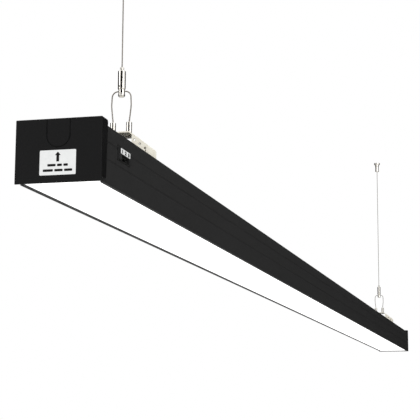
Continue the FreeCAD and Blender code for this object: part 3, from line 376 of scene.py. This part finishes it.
@dataclass(frozen=True)
class Finish:
    """A surface finish, with the values that its material is built from."""

    name: str
    colour: Colour
    roughness: float
    metallic: float = 0.0
    specular: float = 0.5
    grain: Grain = Grain.SPARK
    waves: float = RELIEF_WAVES
    relief: float = 0.02 * MM
    swing: float = 0.12
    gloss_swing: float = 0.06
    smudge_size: float = 30.0 * MM
    edge_radius: float = 0.3 * MM
    edge_wear: float = 0.15
    edge_colour: Colour = (0.3, 0.3, 0.3)
    dust: float = 0.05
    # How far painted shade darkens the part's recesses.
    grime: float = 0.0
    glow: float = 0.0

    def shaded_colour(self, graph: Graph, shade: Socket) -> Socket:
        """Builds the plain colour, which swings a little with the relief.

        Args:
            graph: The material's graph.
            shade: The relief's shade.

        Returns:
            The colour's socket.
        """
        dark = with_alpha(scaled(self.colour, 1.0 - self.swing))
        light = with_alpha(scaled(self.colour, 1.0 + self.swing))
        return graph.mix(graph.remap(shade, SHADE_RANGE), dark, light)

    def used_colour(self, graph: Graph, colour: Socket, edge: bpy.types.NodeOutputs, dust: Socket) -> Socket:
        """Builds what wear, painted shade in recesses and dust make of the plain colour.

        Args:
            graph: The material's graph.
            colour: The plain colour.
            edge: The edge effect's outputs.
            dust: The mask of dust.

        Returns:
            The colour's socket.
        """
        worn = graph.mix(edge["Wear"], colour, with_alpha(self.edge_colour))
        # Painted shade: recesses are darkened towards a near-black.
        grime = graph.combine("MULTIPLY", edge["Recess"], self.grime)
        shaded_in_recesses = graph.mix(grime, worn, with_alpha(RECESS_SHADE_COLOUR))
        dusting = graph.combine("MULTIPLY", dust, self.dust)
        return graph.mix(dusting, shaded_in_recesses, with_alpha(DUST_COLOUR))

    def build(self, effects: Effects) -> bpy.types.Material:
        """Builds the material.

        Args:
            effects: The shared effects.

        Returns:
            The material, with its colour, gloss and relief from nodes.
        """
        material = bpy.data.materials.new(self.name)
        material.use_nodes = True
        material.diffuse_color = with_alpha(self.colour)
        graph = Graph(material.node_tree)
        shader = graph.add("ShaderNodeBsdfPrincipled")
        graph.put(graph.add("ShaderNodeOutputMaterial").inputs["Surface"], shader.outputs["BSDF"])
        relief = effects.relief.place(graph, Stretch=self.grain.value, Waves=self.waves)
        edge = effects.edge.place(graph, Radius=self.edge_radius, Amount=self.edge_wear)
        handling = effects.handling.place(graph, Size=self.smudge_size)
        colour = self.shaded_colour(graph, relief["Shade"])
        graph.put(shader.inputs["Base Color"], self.used_colour(graph, colour, edge, handling["Dust"]))
        smoothest = max(LEAST_ROUGHNESS, self.roughness - self.gloss_swing)
        roughest = min(1.0, self.roughness + self.gloss_swing)
        gloss = graph.remap(handling["Smudge"], (0.0, 1.0), (smoothest, roughest))
        graph.put(shader.inputs["Roughness"], gloss)
        bump = graph.add("ShaderNodeBump")
        bump.inputs["Distance"].default_value = self.relief
        graph.put(bump.inputs["Height"], relief["Height"])
        graph.put(bump.inputs["Normal"], edge["Normal"])
        graph.put(shader.inputs["Normal"], bump.outputs["Normal"])
        shader.inputs["Metallic"].default_value = self.metallic
        shader.inputs["Specular IOR Level"].default_value = self.specular
        if self.glow > 0.0:
            shader.inputs["Emission Color"].default_value = (1.0, 1.0, 1.0, 1.0)
            shader.inputs["Emission Strength"].default_value = self.glow
        return material


FINISHES: dict[str, Finish] = {
    "black_coat": Finish(
        "black_powder_coat", (0.0225, 0.0225, 0.0225), 0.55,
        specular=0.12, waves=2600.0, relief=0.03 * MM, gloss_swing=0.015, smudge_size=200.0 * MM,
        edge_radius=0.6 * MM, edge_wear=0.1, edge_colour=(0.05, 0.05, 0.05), dust=0.03,
    ),
    "cap_plastic": Finish(
        "cap_spark_plastic", (0.0042, 0.0042, 0.0044), 0.5,
        specular=0.15, waves=3400.0, relief=0.035 * MM, gloss_swing=0.03, smudge_size=60.0 * MM,
        edge_radius=0.6 * MM, edge_wear=0.1, edge_colour=(0.03, 0.03, 0.03), dust=0.03,
    ),
    "black_plastic": Finish(
        "black_moulding", (0.012, 0.012, 0.012), 0.42,
        specular=0.3, waves=2200.0,
    ),
    "knob_plastic": Finish(
        "knob_moulding", (0.02, 0.02, 0.021), 0.35,
        specular=0.35, waves=2200.0,
    ),
    "white_plastic": Finish(
        "white_moulding", (0.8, 0.8, 0.78), 0.4,
        waves=1500.0, swing=0.03, edge_wear=0.05, edge_colour=(0.6, 0.6, 0.58),
    ),
    "opal": Finish(
        "opal_diffuser", (0.97, 0.97, 0.96), 0.45,
        waves=900.0, swing=0.01, edge_wear=0.0, dust=0.0, glow=1.0,
    ),
    "led_board": Finish(
        "white_solder_mask", (0.85, 0.86, 0.85), 0.35,
        waves=1800.0, swing=0.03,
    ),
    "led_phosphor": Finish(
        "phosphor_gel", (0.95, 0.82, 0.35), 0.5,
        waves=4000.0, swing=0.08, edge_wear=0.6, edge_colour=(0.9, 0.9, 0.88),
    ),
    "circuit_board": Finish(
        "green_solder_mask", (0.05, 0.22, 0.1), 0.35,
        waves=600.0, swing=0.25, edge_wear=0.5, edge_colour=(0.45, 0.4, 0.2),
    ),
    "wire_insulation": Finish(
        "wire_insulation", (0.55, 0.55, 0.56), 0.45,
        waves=900.0, swing=0.05, edge_wear=0.0,
    ),
    "zinc_sheet": Finish(
        "zinc_plated_sheet", (0.62, 0.63, 0.64), 0.34,
        metallic=1.0, waves=260.0, swing=0.1, gloss_swing=0.1, edge_colour=(0.75, 0.75, 0.75),
    ),
    "zinc_screw": Finish(
        "zinc_plated_screw", (0.55, 0.56, 0.57), 0.3,
        metallic=1.0, grain=Grain.BRUSHED, edge_colour=(0.75, 0.75, 0.75),
    ),
    "nickel": Finish(
        "polished_nickel", (0.86, 0.83, 0.77), 0.12,
        metallic=1.0, grain=Grain.TURNED, waves=2600.0, relief=0.0015 * MM, swing=0.06,
        gloss_swing=0.03, smudge_size=4.0 * MM, edge_radius=0.4 * MM, edge_wear=0.1,
        # Painted shade darkens its bore and grooves.
        edge_colour=(0.9, 0.88, 0.84), dust=0.02, grime=0.95,
    ),
    "bright_steel": Finish(
        "bright_steel", (0.62, 0.62, 0.62), 0.2,
        metallic=1.0, relief=0.004 * MM, smudge_size=3.0 * MM, edge_wear=0.0,
    ),
    "steel_cable": Finish(
        "stranded_steel", (0.27, 0.245, 0.215), 0.4,
        metallic=1.0, grain=Grain.TURNED, waves=1800.0, relief=0.01 * MM, smudge_size=10.0 * MM,
        edge_radius=0.1 * MM, edge_wear=0.0, dust=0.02,
    ),
    "clip_steel": Finish(
        "bright_spring_steel", (0.99, 0.93, 0.81), 0.5,
        specular=0.4, grain=Grain.BRUSHED, waves=900.0, relief=0.008 * MM, swing=0.06,
        gloss_swing=0.08, smudge_size=10.0 * MM, edge_radius=0.6 * MM, edge_wear=0.7,
        # Painted shade darkens its holes and bends.
        edge_colour=(0.2, 0.15, 0.1), dust=0.03, grime=0.7,
    ),
}
LABEL_PAPER = Finish(
    "label_paper", (0.82, 0.83, 0.83), 0.55,
    specular=0.3, waves=1400.0, relief=0.01 * MM, swing=0.03,
    edge_radius=0.2 * MM, edge_wear=0.2, edge_colour=(0.6, 0.6, 0.58),
)
LABEL_INK = Finish(
    "label_ink", (0.008, 0.008, 0.008), 0.5,
    specular=0.1, waves=2600.0, relief=0.005 * MM, edge_wear=0.0,
)


@dataclass
class Palette:
    """Every material, built once from its finish."""

    effects: Effects = field(default_factory=Effects)
    built: dict[str, bpy.types.Material] = field(default_factory=dict)

    def get(self, finish: Finish) -> bpy.types.Material:
        """Finds a finish's material, and builds it the first time.

        Args:
            finish: The finish.

        Returns:
            Its material.
        """
        if finish.name not in self.built:
            self.built[finish.name] = finish.build(self.effects)
        return self.built[finish.name]

    def dress_node(self, node: str) -> None:
        """Gives a node of the frame the finish of its slot in the record.

        Args:
            node: The node's name.
        """
        slots = {part["node"]: part["material_slot"] for part in frame["record"]["subparts"]}
        mesh = frame["nodes"][node].data
        mesh.materials.clear()
        mesh.materials.append(self.get(FINISHES[slots[node]]))
        LOG.info("dressed %s as %s", node, slots[node])


# --- mesh helpers ---------------------------------------------------------------------------------


def show(name: str, data: bpy.types.ID) -> bpy.types.Object:
    """Puts a mesh, curve, lamp or camera in the scene.

    Args:
        name: The object's name.
        data: What it shows.

    Returns:
        The object.
    """
    shown = bpy.data.objects.new(name, data)
    bpy.context.scene.collection.objects.link(shown)
    return shown


def mesh_of(holder: bpy.types.Object) -> bpy.types.Mesh:
    """Turns a curve or text object into a mesh and removes the object.

    Args:
        holder: The object.

    Returns:
        Its mesh, in the object's own coordinates.
    """
    mesh = bpy.data.meshes.new_from_object(holder)
    bpy.data.objects.remove(holder)
    return mesh


def piece_from(
    name: str, draft: bmesh.types.BMesh, material: bpy.types.Material, smooth: bool = False
) -> bpy.types.Object:
    """Makes a scene object from a mesh being built.

    Args:
        name: The piece's name.
        draft: The mesh, which is used up.
        material: Its material.
        smooth: Whether its faces are shaded smooth.

    Returns:
        The object, linked to the scene.
    """
    mesh = bpy.data.meshes.new(name)
    bmesh.ops.recalc_face_normals(draft, faces=draft.faces)
    draft.to_mesh(mesh)
    draft.free()
    for polygon in mesh.polygons:
        polygon.use_smooth = smooth
    mesh.materials.append(material)
    return show(name, mesh)


@dataclass(frozen=True)
class Plane:
    """A face of the object that flat things lie on: where it is and how it is turned."""

    origin: Vector
    across: Vector
    up: Vector

    @property
    def out(self) -> Vector:
        """The direction away from the object."""
        return self.across.cross(self.up)

    @property
    def turn(self) -> Matrix:
        """The turn from flat on X and Y to lying on the plane."""
        return Matrix((self.across, self.up, self.out)).transposed().to_4x4()

    def point(self, across: float, up: float, out: float = 0.0) -> Vector:
        """A point given by its distances along the plane's directions."""
        return self.origin + self.across * across + self.up * up + self.out * out


def slab(draft: bmesh.types.BMesh, plane: Plane, outline: list[FlatPoint], base: float, top: float) -> None:
    """Adds a flat plate to a mesh.

    Args:
        draft: The mesh being built.
        plane: What it lies on.
        outline: Its corners, anticlockwise.
        base: Its underside's height above the plane.
        top: Its top's height above the plane.
    """
    lower = [draft.verts.new(plane.point(x, y, base)) for x, y in outline]
    upper = [draft.verts.new(plane.point(x, y, top)) for x, y in outline]
    draft.faces.new(lower[::-1])
    draft.faces.new(upper)
    for i in range(len(outline)):
        k = (i + 1) % len(outline)
        draft.faces.new([lower[i], lower[k], upper[k], upper[i]])


def rounded_rectangle(x0: float, x1: float, y0: float, y1: float, radius: float) -> list[FlatPoint]:
    """Corners of a rectangle with round corners, anticlockwise.

    Args:
        x0: Left.
        x1: Right.
        y0: Bottom.
        y1: Top.
        radius: Of its corners.

    Returns:
        The points.
    """
    left, right = x0 + radius, x1 - radius
    low, high = y0 + radius, y1 - radius
    points = []
    for turn, (cx, cy) in enumerate([(right, low), (right, high), (left, high), (left, low)]):
        for step in range(CORNER_POINTS):
            angle = math.radians(-90 + 90 * turn + 90 * step / (CORNER_POINTS - 1))
            points.append((cx + radius * math.cos(angle), cy + radius * math.sin(angle)))
    return points


# --- sub-assemblies -------------------------------------------------------------------------------


@dataclass
class LightBody:
    """The extrusion with everything fixed inside it."""

    palette: Palette

    def dress(self) -> None:
        """Dresses every node that is fixed to the light."""
        for node in frame["record"]["behaviour"]["bodies"]["light"]:
            self.palette.dress_node(node)


@dataclass
class EndCap:
    """A pull-up end cap, with its printed label at the near end.

    The label's sizes are counted from the cap's middle and from the light's underside.
    """

    palette: Palette
    end: End
    label_left: float = -16.0 * MM
    label_right: float = 16.0 * MM
    label_bottom: float = 5.8 * MM
    label_top: float = 26.9 * MM
    label_thickness: float = 0.12 * MM
    ink_thickness: float = 0.02 * MM
    corner: float = 0.8 * MM
    arrow_half: float = 2.6 * MM
    arrow_tip: float = 25.5 * MM
    arrow_neck: float = 22.5 * MM
    arrow_foot: float = 17.1 * MM
    shaft_half: float = 1.25 * MM
    bar_height: float = 2.1 * MM
    bar_rows: tuple[float, float] = (13.1 * MM, 8.7 * MM)
    bar_widths: tuple[tuple[float, ...], ...] = (
        (7.4 * MM, 4.4 * MM, 4.0 * MM),
        (9.0 * MM, 7.4 * MM, 7.2 * MM),
    )
    bar_gap: float = 1.2 * MM

    def plane(self) -> Plane:
        """Finds the cap's front face.

        Returns:
            The face, counted from the cap's middle and the light's underside.
        """
        low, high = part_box(f"end_cap_{self.end.value}")
        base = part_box("housing_extrusion")[0].z
        return Plane(Vector(((low.x + high.x) / 2, low.y, base)), Vector((1, 0, 0)), Vector((0, 0, 1)))

    def arrow(self) -> list[FlatPoint]:
        """Draws the arrow that shows which way the cap pulls.

        Returns:
            Its outline, anticlockwise.
        """
        return [
            (-self.shaft_half, self.arrow_foot),
            (self.shaft_half, self.arrow_foot),
            (self.shaft_half, self.arrow_neck),
            (self.arrow_half, self.arrow_neck),
            (0.0, self.arrow_tip),
            (-self.arrow_half, self.arrow_neck),
            (-self.shaft_half, self.arrow_neck),
        ]

    def bars(self) -> list[list[FlatPoint]]:
        """Draws the rows of plain bars under the arrow.

        Returns:
            Their outlines, anticlockwise.
        """
        outlines = []
        for row, widths in zip(self.bar_rows, self.bar_widths):
            left = -(sum(widths) + self.bar_gap * (len(widths) - 1)) / 2
            for width in widths:
                top = row + self.bar_height
                outlines.append(rounded_rectangle(left, left + width, row, top, self.bar_height / 3))
                left += width + self.bar_gap
        return outlines

    def make_label(self) -> list[bpy.types.Object]:
        """Builds the paper label and the marks printed on it.

        Returns:
            The sheet and the print.
        """
        plane = self.plane()
        sheet = bmesh.new()
        edge = rounded_rectangle(
            self.label_left, self.label_right, self.label_bottom, self.label_top, self.corner
        )
        slab(sheet, plane, edge, 0.0, self.label_thickness)
        ink = bmesh.new()
        for outline in [self.arrow(), *self.bars()]:
            slab(ink, plane, outline, self.label_thickness / 2, self.label_thickness + self.ink_thickness)
        return [
            piece_from("cap_label", sheet, self.palette.get(LABEL_PAPER)),
            piece_from("cap_label_print", ink, self.palette.get(LABEL_INK)),
        ]

    def dress(self) -> None:
        """Dresses the cap and sticks the near one's label on."""
        self.palette.dress_node(f"end_cap_{self.end.value}")
        if self.end is End.NEAR:
            for piece in self.make_label():
                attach(piece, f"end_cap_{self.end.value}")
                LOG.info("built %s", piece.name)


@dataclass
class Selector:
    """The sliding selector and the label above its slot.

    The label's sizes are counted from the light's near end and underside.
    """

    palette: Palette
    pad_depth: float = 0.2 * MM
    label_near: float = 52.2 * MM
    label_far: float = 77.8 * MM
    label_bottom: float = 32.7 * MM
    label_top: float = 37.9 * MM
    label_corner: float = 0.4 * MM
    label_thickness: float = 0.16 * MM
    ink_thickness: float = 0.03 * MM
    mark_height: float = 2.9 * MM
    mark_boldness: float = 0.3 * MM
    mark_stretch: float = 2.2
    mark_count: int = 3
    font_ratio: float = 1.4

    def plane(self) -> Plane:
        """Finds the pad that the label is stuck on.

        Returns:
            The pad's face, counted from the near end and the light's underside.
        """
        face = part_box("selector_body")[1].x - self.pad_depth
        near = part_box("end_cap_near")[0].y
        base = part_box("housing_extrusion")[0].z
        return Plane(Vector((face, near, base)), Vector((0, 1, 0)), Vector((0, 0, 1)))

    def numeral(self, number: int) -> bpy.types.Mesh:
        """Builds one numeral, upright about the origin.

        Args:
            number: The number that it shows.

        Returns:
            Its mesh.
        """
        font = bpy.data.curves.new("numeral", "FONT")
        font.body = str(number)
        font.align_x = "CENTER"
        font.align_y = "CENTER"
        font.size = self.mark_height * self.font_ratio
        font.extrude = self.ink_thickness / 2
        font.offset = self.mark_boldness
        return mesh_of(show("numeral", font))

    def make_marks(self, plane: Plane) -> bpy.types.Object:
        """Builds the numerals of the selector's places.

        Args:
            plane: The face that they are printed above.

        Returns:
            The numerals, as one piece.
        """
        marks = bmesh.new()
        pitch = (self.label_far - self.label_near) / self.mark_count
        middle = (self.label_bottom + self.label_top) / 2
        height = self.label_thickness + self.ink_thickness / 2
        stretch = Matrix.Diagonal((self.mark_stretch, 1.0, 1.0, 1.0))
        for index in range(self.mark_count):
            mesh = self.numeral(index + 1)
            place = plane.point(self.label_near + pitch * (index + 0.5), middle, height)
            mesh.transform(Matrix.Translation(place) @ plane.turn @ stretch)
            marks.from_mesh(mesh)
            bpy.data.meshes.remove(mesh)
        return piece_from("selector_marks", marks, self.palette.get(LABEL_INK))

    def make_label(self, plane: Plane) -> bpy.types.Object:
        """Builds the label's paper.

        Args:
            plane: The face that it is stuck on.

        Returns:
            The label.
        """
        sheet = bmesh.new()
        edge = rounded_rectangle(
            self.label_near, self.label_far, self.label_bottom, self.label_top, self.label_corner
        )
        slab(sheet, plane, edge, 0.0, self.label_thickness)
        return piece_from("selector_label", sheet, self.palette.get(LABEL_PAPER))

    def dress(self) -> None:
        """Dresses the knob and builds the label."""
        self.palette.dress_node("selector_knob")
        plane = self.plane()
        for piece in (self.make_label(plane), self.make_marks(plane)):
            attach(piece, "light")
            LOG.info("built %s", piece.name)


@dataclass
class Suspension:
    """One wire suspension: ceiling fitting, ball, stranded cable, gripper, spring, loop and clip."""

    palette: Palette
    end: End
    diameter: float = 1.2 * MM
    lay_length: float = 7.0 * MM
    strand_count: int = 6
    strand_depth: float = 0.16
    points_round: int = 36
    route_points: int = 5
    ring_pitch: float = 0.45 * MM

    def route(self) -> list[Vector]:
        """Works out the cable's centreline, straight down from its ball to its gripper.

        Returns:
            Its points, from the top.
        """
        low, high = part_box(f"suspension_cable_{self.end.value}")
        middle = (low + high) / 2
        line = bpy.data.curves.new("cable_route", "CURVE")
        line.dimensions = "3D"
        spline = line.splines.new("NURBS")
        spline.points.add(self.route_points - 1)
        for i, point in enumerate(spline.points):
            share = i / (self.route_points - 1)
            point.co = (middle.x, middle.y, high.z + (low.z - high.z) * share, 1.0)
        spline.order_u = 3
        spline.use_endpoint_u = True
        spans = self.route_points - 2
        line.resolution_u = max(1, round((high.z - low.z) / self.ring_pitch / spans))
        centreline = mesh_of(show("cable_route", line))
        path = [vertex.co.copy() for vertex in centreline.vertices]
        bpy.data.meshes.remove(centreline)
        return path

    def ring(self, centre: Vector, turn: float) -> list[Vector]:
        """Works out one cross-section of the cable, with a lobe for each strand.

        Args:
            centre: Its centre.
            turn: How far the strands have turned by there, in radians.

        Returns:
            The points round it.
        """
        points = []
        for k in range(self.points_round):
            angle = 2 * math.pi * k / self.points_round
            lobe = abs(math.cos(self.strand_count * angle / 2))
            radius = self.diameter / 2 * (1.0 - self.strand_depth * (1.0 - lobe))
            direction = Vector((math.cos(angle + turn), math.sin(angle + turn), 0.0))
            points.append(centre + direction * radius)
        return points

    def make_cable(self) -> bpy.types.Object:
        """Builds the cable as strands laid round each other along its route.

        Returns:
            The cable.
        """
        path = self.route()
        rope = bmesh.new()
        rings = []
        run = 0.0
        for i, point in enumerate(path):
            run += (point - path[i - 1]).length if i else 0.0
            turn = 2 * math.pi * run / self.lay_length
            rings.append([rope.verts.new(place) for place in self.ring(point, turn)])
        for above, below in zip(rings, rings[1:]):
            for k in range(self.points_round):
                n = (k + 1) % self.points_round
                rope.faces.new([above[k], above[n], below[n], below[k]])
        rope.faces.new(rings[0][::-1])
        rope.faces.new(rings[-1])
        steel = self.palette.get(FINISHES["steel_cable"])
        cable = piece_from(f"stranded_cable_{self.end.value}", rope, steel, smooth=True)
        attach(cable, f"cable_{self.end.value}")
        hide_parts(f"suspension_cable_{self.end.value}")
        return cable

    def make_spring(self) -> bpy.types.Object:
        """Builds the plunger's return spring as a copy of the CAD one.

        Returns:
            The spring, in place of the CAD one.
        """
        node = f"gripper_spring_{self.end.value}"
        ranges = {row["name"]: row.get("range_m") for row in frame["record"]["behaviour"]["joints"]}
        spring = show(f"return_spring_{self.end.value}", frame["nodes"][node].data.copy())
        spring.matrix_world = frame["nodes"][node].matrix_world.copy()
        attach(spring, f"cable_{self.end.value}")
        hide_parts(node)
        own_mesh(spring)
        return spring

    def dress(self) -> None:
        """Dresses the suspension's nodes and builds its cable and its spring."""
        end = self.end.value
        bodies = frame["record"]["behaviour"]["bodies"]
        for body in (f"seat_{end}", f"cable_{end}", f"plunger_{end}", f"hanger_{end}"):
            for node in bodies[body]:
                self.palette.dress_node(node)
        for node in (f"ceiling_base_{end}", f"ceiling_cap_{end}"):
            self.palette.dress_node(node)
        for piece in (self.make_cable(), self.make_spring()):
            LOG.info("built %s", piece.name)


# --- studio ---------------------------------------------------------------------------------------


@dataclass(frozen=True)
class Lamp:
    """A soft square lamp: where it is, what it faces, its side and its power in watts."""

    name: str
    place: Point
    target: Point
    size: float
    power: float

    def build(self) -> None:
        """Adds the lamp."""
        data = bpy.data.lights.new(self.name, "AREA")
        data.size = self.size
        data.energy = self.power
        lamp = show(self.name, data)
        lamp.location = self.place
        lamp.rotation_mode = "QUATERNION"
        lamp.rotation_quaternion = (Vector(self.target) - Vector(self.place)).to_track_quat("-Z", "Y")


@dataclass(frozen=True)
class Card:
    """A dark upright card that only reflections see, as beside a real studio table."""

    name: str
    place: Point
    facing: Point
    width: float
    height: float
    shade: float

    def build(self) -> None:
        """Stands the card in the studio."""
        out = (Vector(self.facing) - Vector(self.place)).normalized()
        across = Vector((-out.y, out.x, 0.0)).normalized()
        plane = Plane(Vector(self.place), across, Vector((0, 0, 1)))
        half, rise = self.width / 2, self.height / 2
        draft = bmesh.new()
        corners = ((-half, -rise), (half, -rise), (half, rise), (-half, rise))
        draft.faces.new([draft.verts.new(plane.point(x, y)) for x, y in corners])
        material = bpy.data.materials.new(self.name)
        material.use_nodes = True
        graph = Graph(material.node_tree)
        emission = graph.add("ShaderNodeEmission")
        graph.put(emission.inputs["Color"], with_alpha((self.shade, self.shade, self.shade)))
        graph.put(graph.add("ShaderNodeOutputMaterial").inputs["Surface"], emission.outputs[0])
        card = piece_from(self.name, draft, material)
        card.visible_camera = False
        card.visible_diffuse = False
        card.visible_shadow = False
        card.visible_transmission = False


NEAR_GRIPPER: Point = (0.0, -0.99, -0.32)
LAMPS = (
    Lamp("key", place=(2.6, -3.4, 1.6), target=(0.0, -0.6, -0.4), size=2.4, power=60.0),
    Lamp("fill", place=(-3.0, -2.6, 0.4), target=(0.0, -0.4, -0.4), size=2.4, power=25.0),
)
CARDS = (
    Card("flag_front", place=(0.35, -2.6, 0.48), facing=NEAR_GRIPPER, width=2.4, height=1.04, shade=0.01),
    Card("flag_left", place=(-2.6, 1.85, 0.0), facing=(2.6, 1.85, 0.0), width=8.3, height=5.0, shade=0.03),
    Card("flag_right", place=(2.4, 2.6, 0.0), facing=NEAR_GRIPPER, width=5.6, height=5.0, shade=0.01),
)


@dataclass
class Studio:
    """Camera, lamps, dark cards, white surroundings and a plain pale floor."""

    camera_place: Point = (0.3844, -2.1287, -0.6446)
    yaw: float = -14.57
    pitch: float = 9.57
    roll: float = 0.334
    lens: float = 110.07
    sensor: float = 36.0
    clip_start: float = 0.01
    floor_height: float = -2.4
    floor_half: float = 30.0
    floor_waves: float = 3.0
    floor_dark: Colour = (0.86, 0.86, 0.85)
    floor_light: Colour = (0.9, 0.9, 0.89)
    world_level: float = 0.75

    def make_camera(self) -> None:
        """Places the camera where the photograph was taken from."""
        yaw, pitch, roll = (math.radians(angle) for angle in (self.yaw, self.pitch, self.roll))
        forward = Vector(
            (math.sin(yaw) * math.cos(pitch), math.cos(yaw) * math.cos(pitch), math.sin(pitch))
        )
        level = Vector((math.cos(yaw), -math.sin(yaw), 0.0))
        upright = level.cross(forward)
        right = level * math.cos(roll) + upright * math.sin(roll)
        up = upright * math.cos(roll) - level * math.sin(roll)
        data = bpy.data.cameras.new("camera")
        data.lens = self.lens
        data.sensor_width = self.sensor
        data.clip_start = self.clip_start
        camera = show("camera", data)
        turn = Matrix((right, up, -forward)).transposed().to_4x4()
        camera.matrix_world = Matrix.Translation(self.camera_place) @ turn
        bpy.context.scene.camera = camera

    def make_world(self) -> None:
        """Makes the surroundings, white to the camera and in reflections."""
        world = bpy.data.worlds.new("surroundings")
        bpy.context.scene.world = world
        world.use_nodes = True
        graph = Graph(world.node_tree)
        path = graph.add("ShaderNodeLightPath").outputs
        reflected = graph.combine("MAXIMUM", path["Is Glossy Ray"], path["Is Transmission Ray"])
        seen = graph.combine("MAXIMUM", path["Is Camera Ray"], reflected)
        background = graph.add("ShaderNodeBackground")
        graph.put(background.inputs["Color"], (1.0, 1.0, 1.0, 1.0))
        graph.put(background.inputs["Strength"], graph.remap(seen, (0.0, 1.0), (self.world_level, 1.0)))
        graph.put(graph.add("ShaderNodeOutputWorld").inputs["Surface"], background.outputs[0])

    def make_floor(self) -> None:
        """Lays the floor, which is clear from below so that it never hides the light."""
        half, height = self.floor_half, self.floor_height
        draft = bmesh.new()
        corners = ((-half, -half), (half, -half), (half, half), (-half, half))
        draft.faces.new([draft.verts.new((x, y, height)) for x, y in corners])
        material = bpy.data.materials.new("pale_floor")
        material.use_nodes = True
        graph = Graph(material.node_tree)
        place = graph.add("ShaderNodeTexCoord").outputs["Object"]
        diffuse = graph.add("ShaderNodeBsdfDiffuse")
        patches = graph.noise(place, self.floor_waves)
        tone = graph.mix(patches, with_alpha(self.floor_dark), with_alpha(self.floor_light))
        graph.put(diffuse.inputs["Color"], tone)
        clear = graph.add("ShaderNodeBsdfTransparent")
        choose = graph.add("ShaderNodeMixShader")
        graph.put(choose.inputs[0], graph.add("ShaderNodeNewGeometry").outputs["Backfacing"])
        graph.put(choose.inputs[1], diffuse.outputs[0])
        graph.put(choose.inputs[2], clear.outputs[0])
        graph.put(graph.add("ShaderNodeOutputMaterial").inputs["Surface"], choose.outputs[0])
        piece_from("floor", draft, material)

    def build(self) -> None:
        """Builds the studio."""
        bpy.context.scene.view_settings.view_transform = "Standard"
        self.make_camera()
        self.make_world()
        self.make_floor()
        for fixture in (*LAMPS, *CARDS):
            fixture.build()


def main() -> None:
    """Builds the whole scene, sub-assembly by sub-assembly."""
    logging.basicConfig(level=logging.INFO, format="%(name)s: %(message)s")
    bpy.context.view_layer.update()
    Studio().build()
    palette = Palette()
    LightBody(palette).dress()
    for end in End:
        EndCap(palette, end).dress()
        Suspension(palette, end).dress()
    Selector(palette).dress()


if __name__ == "__main__":
    main()
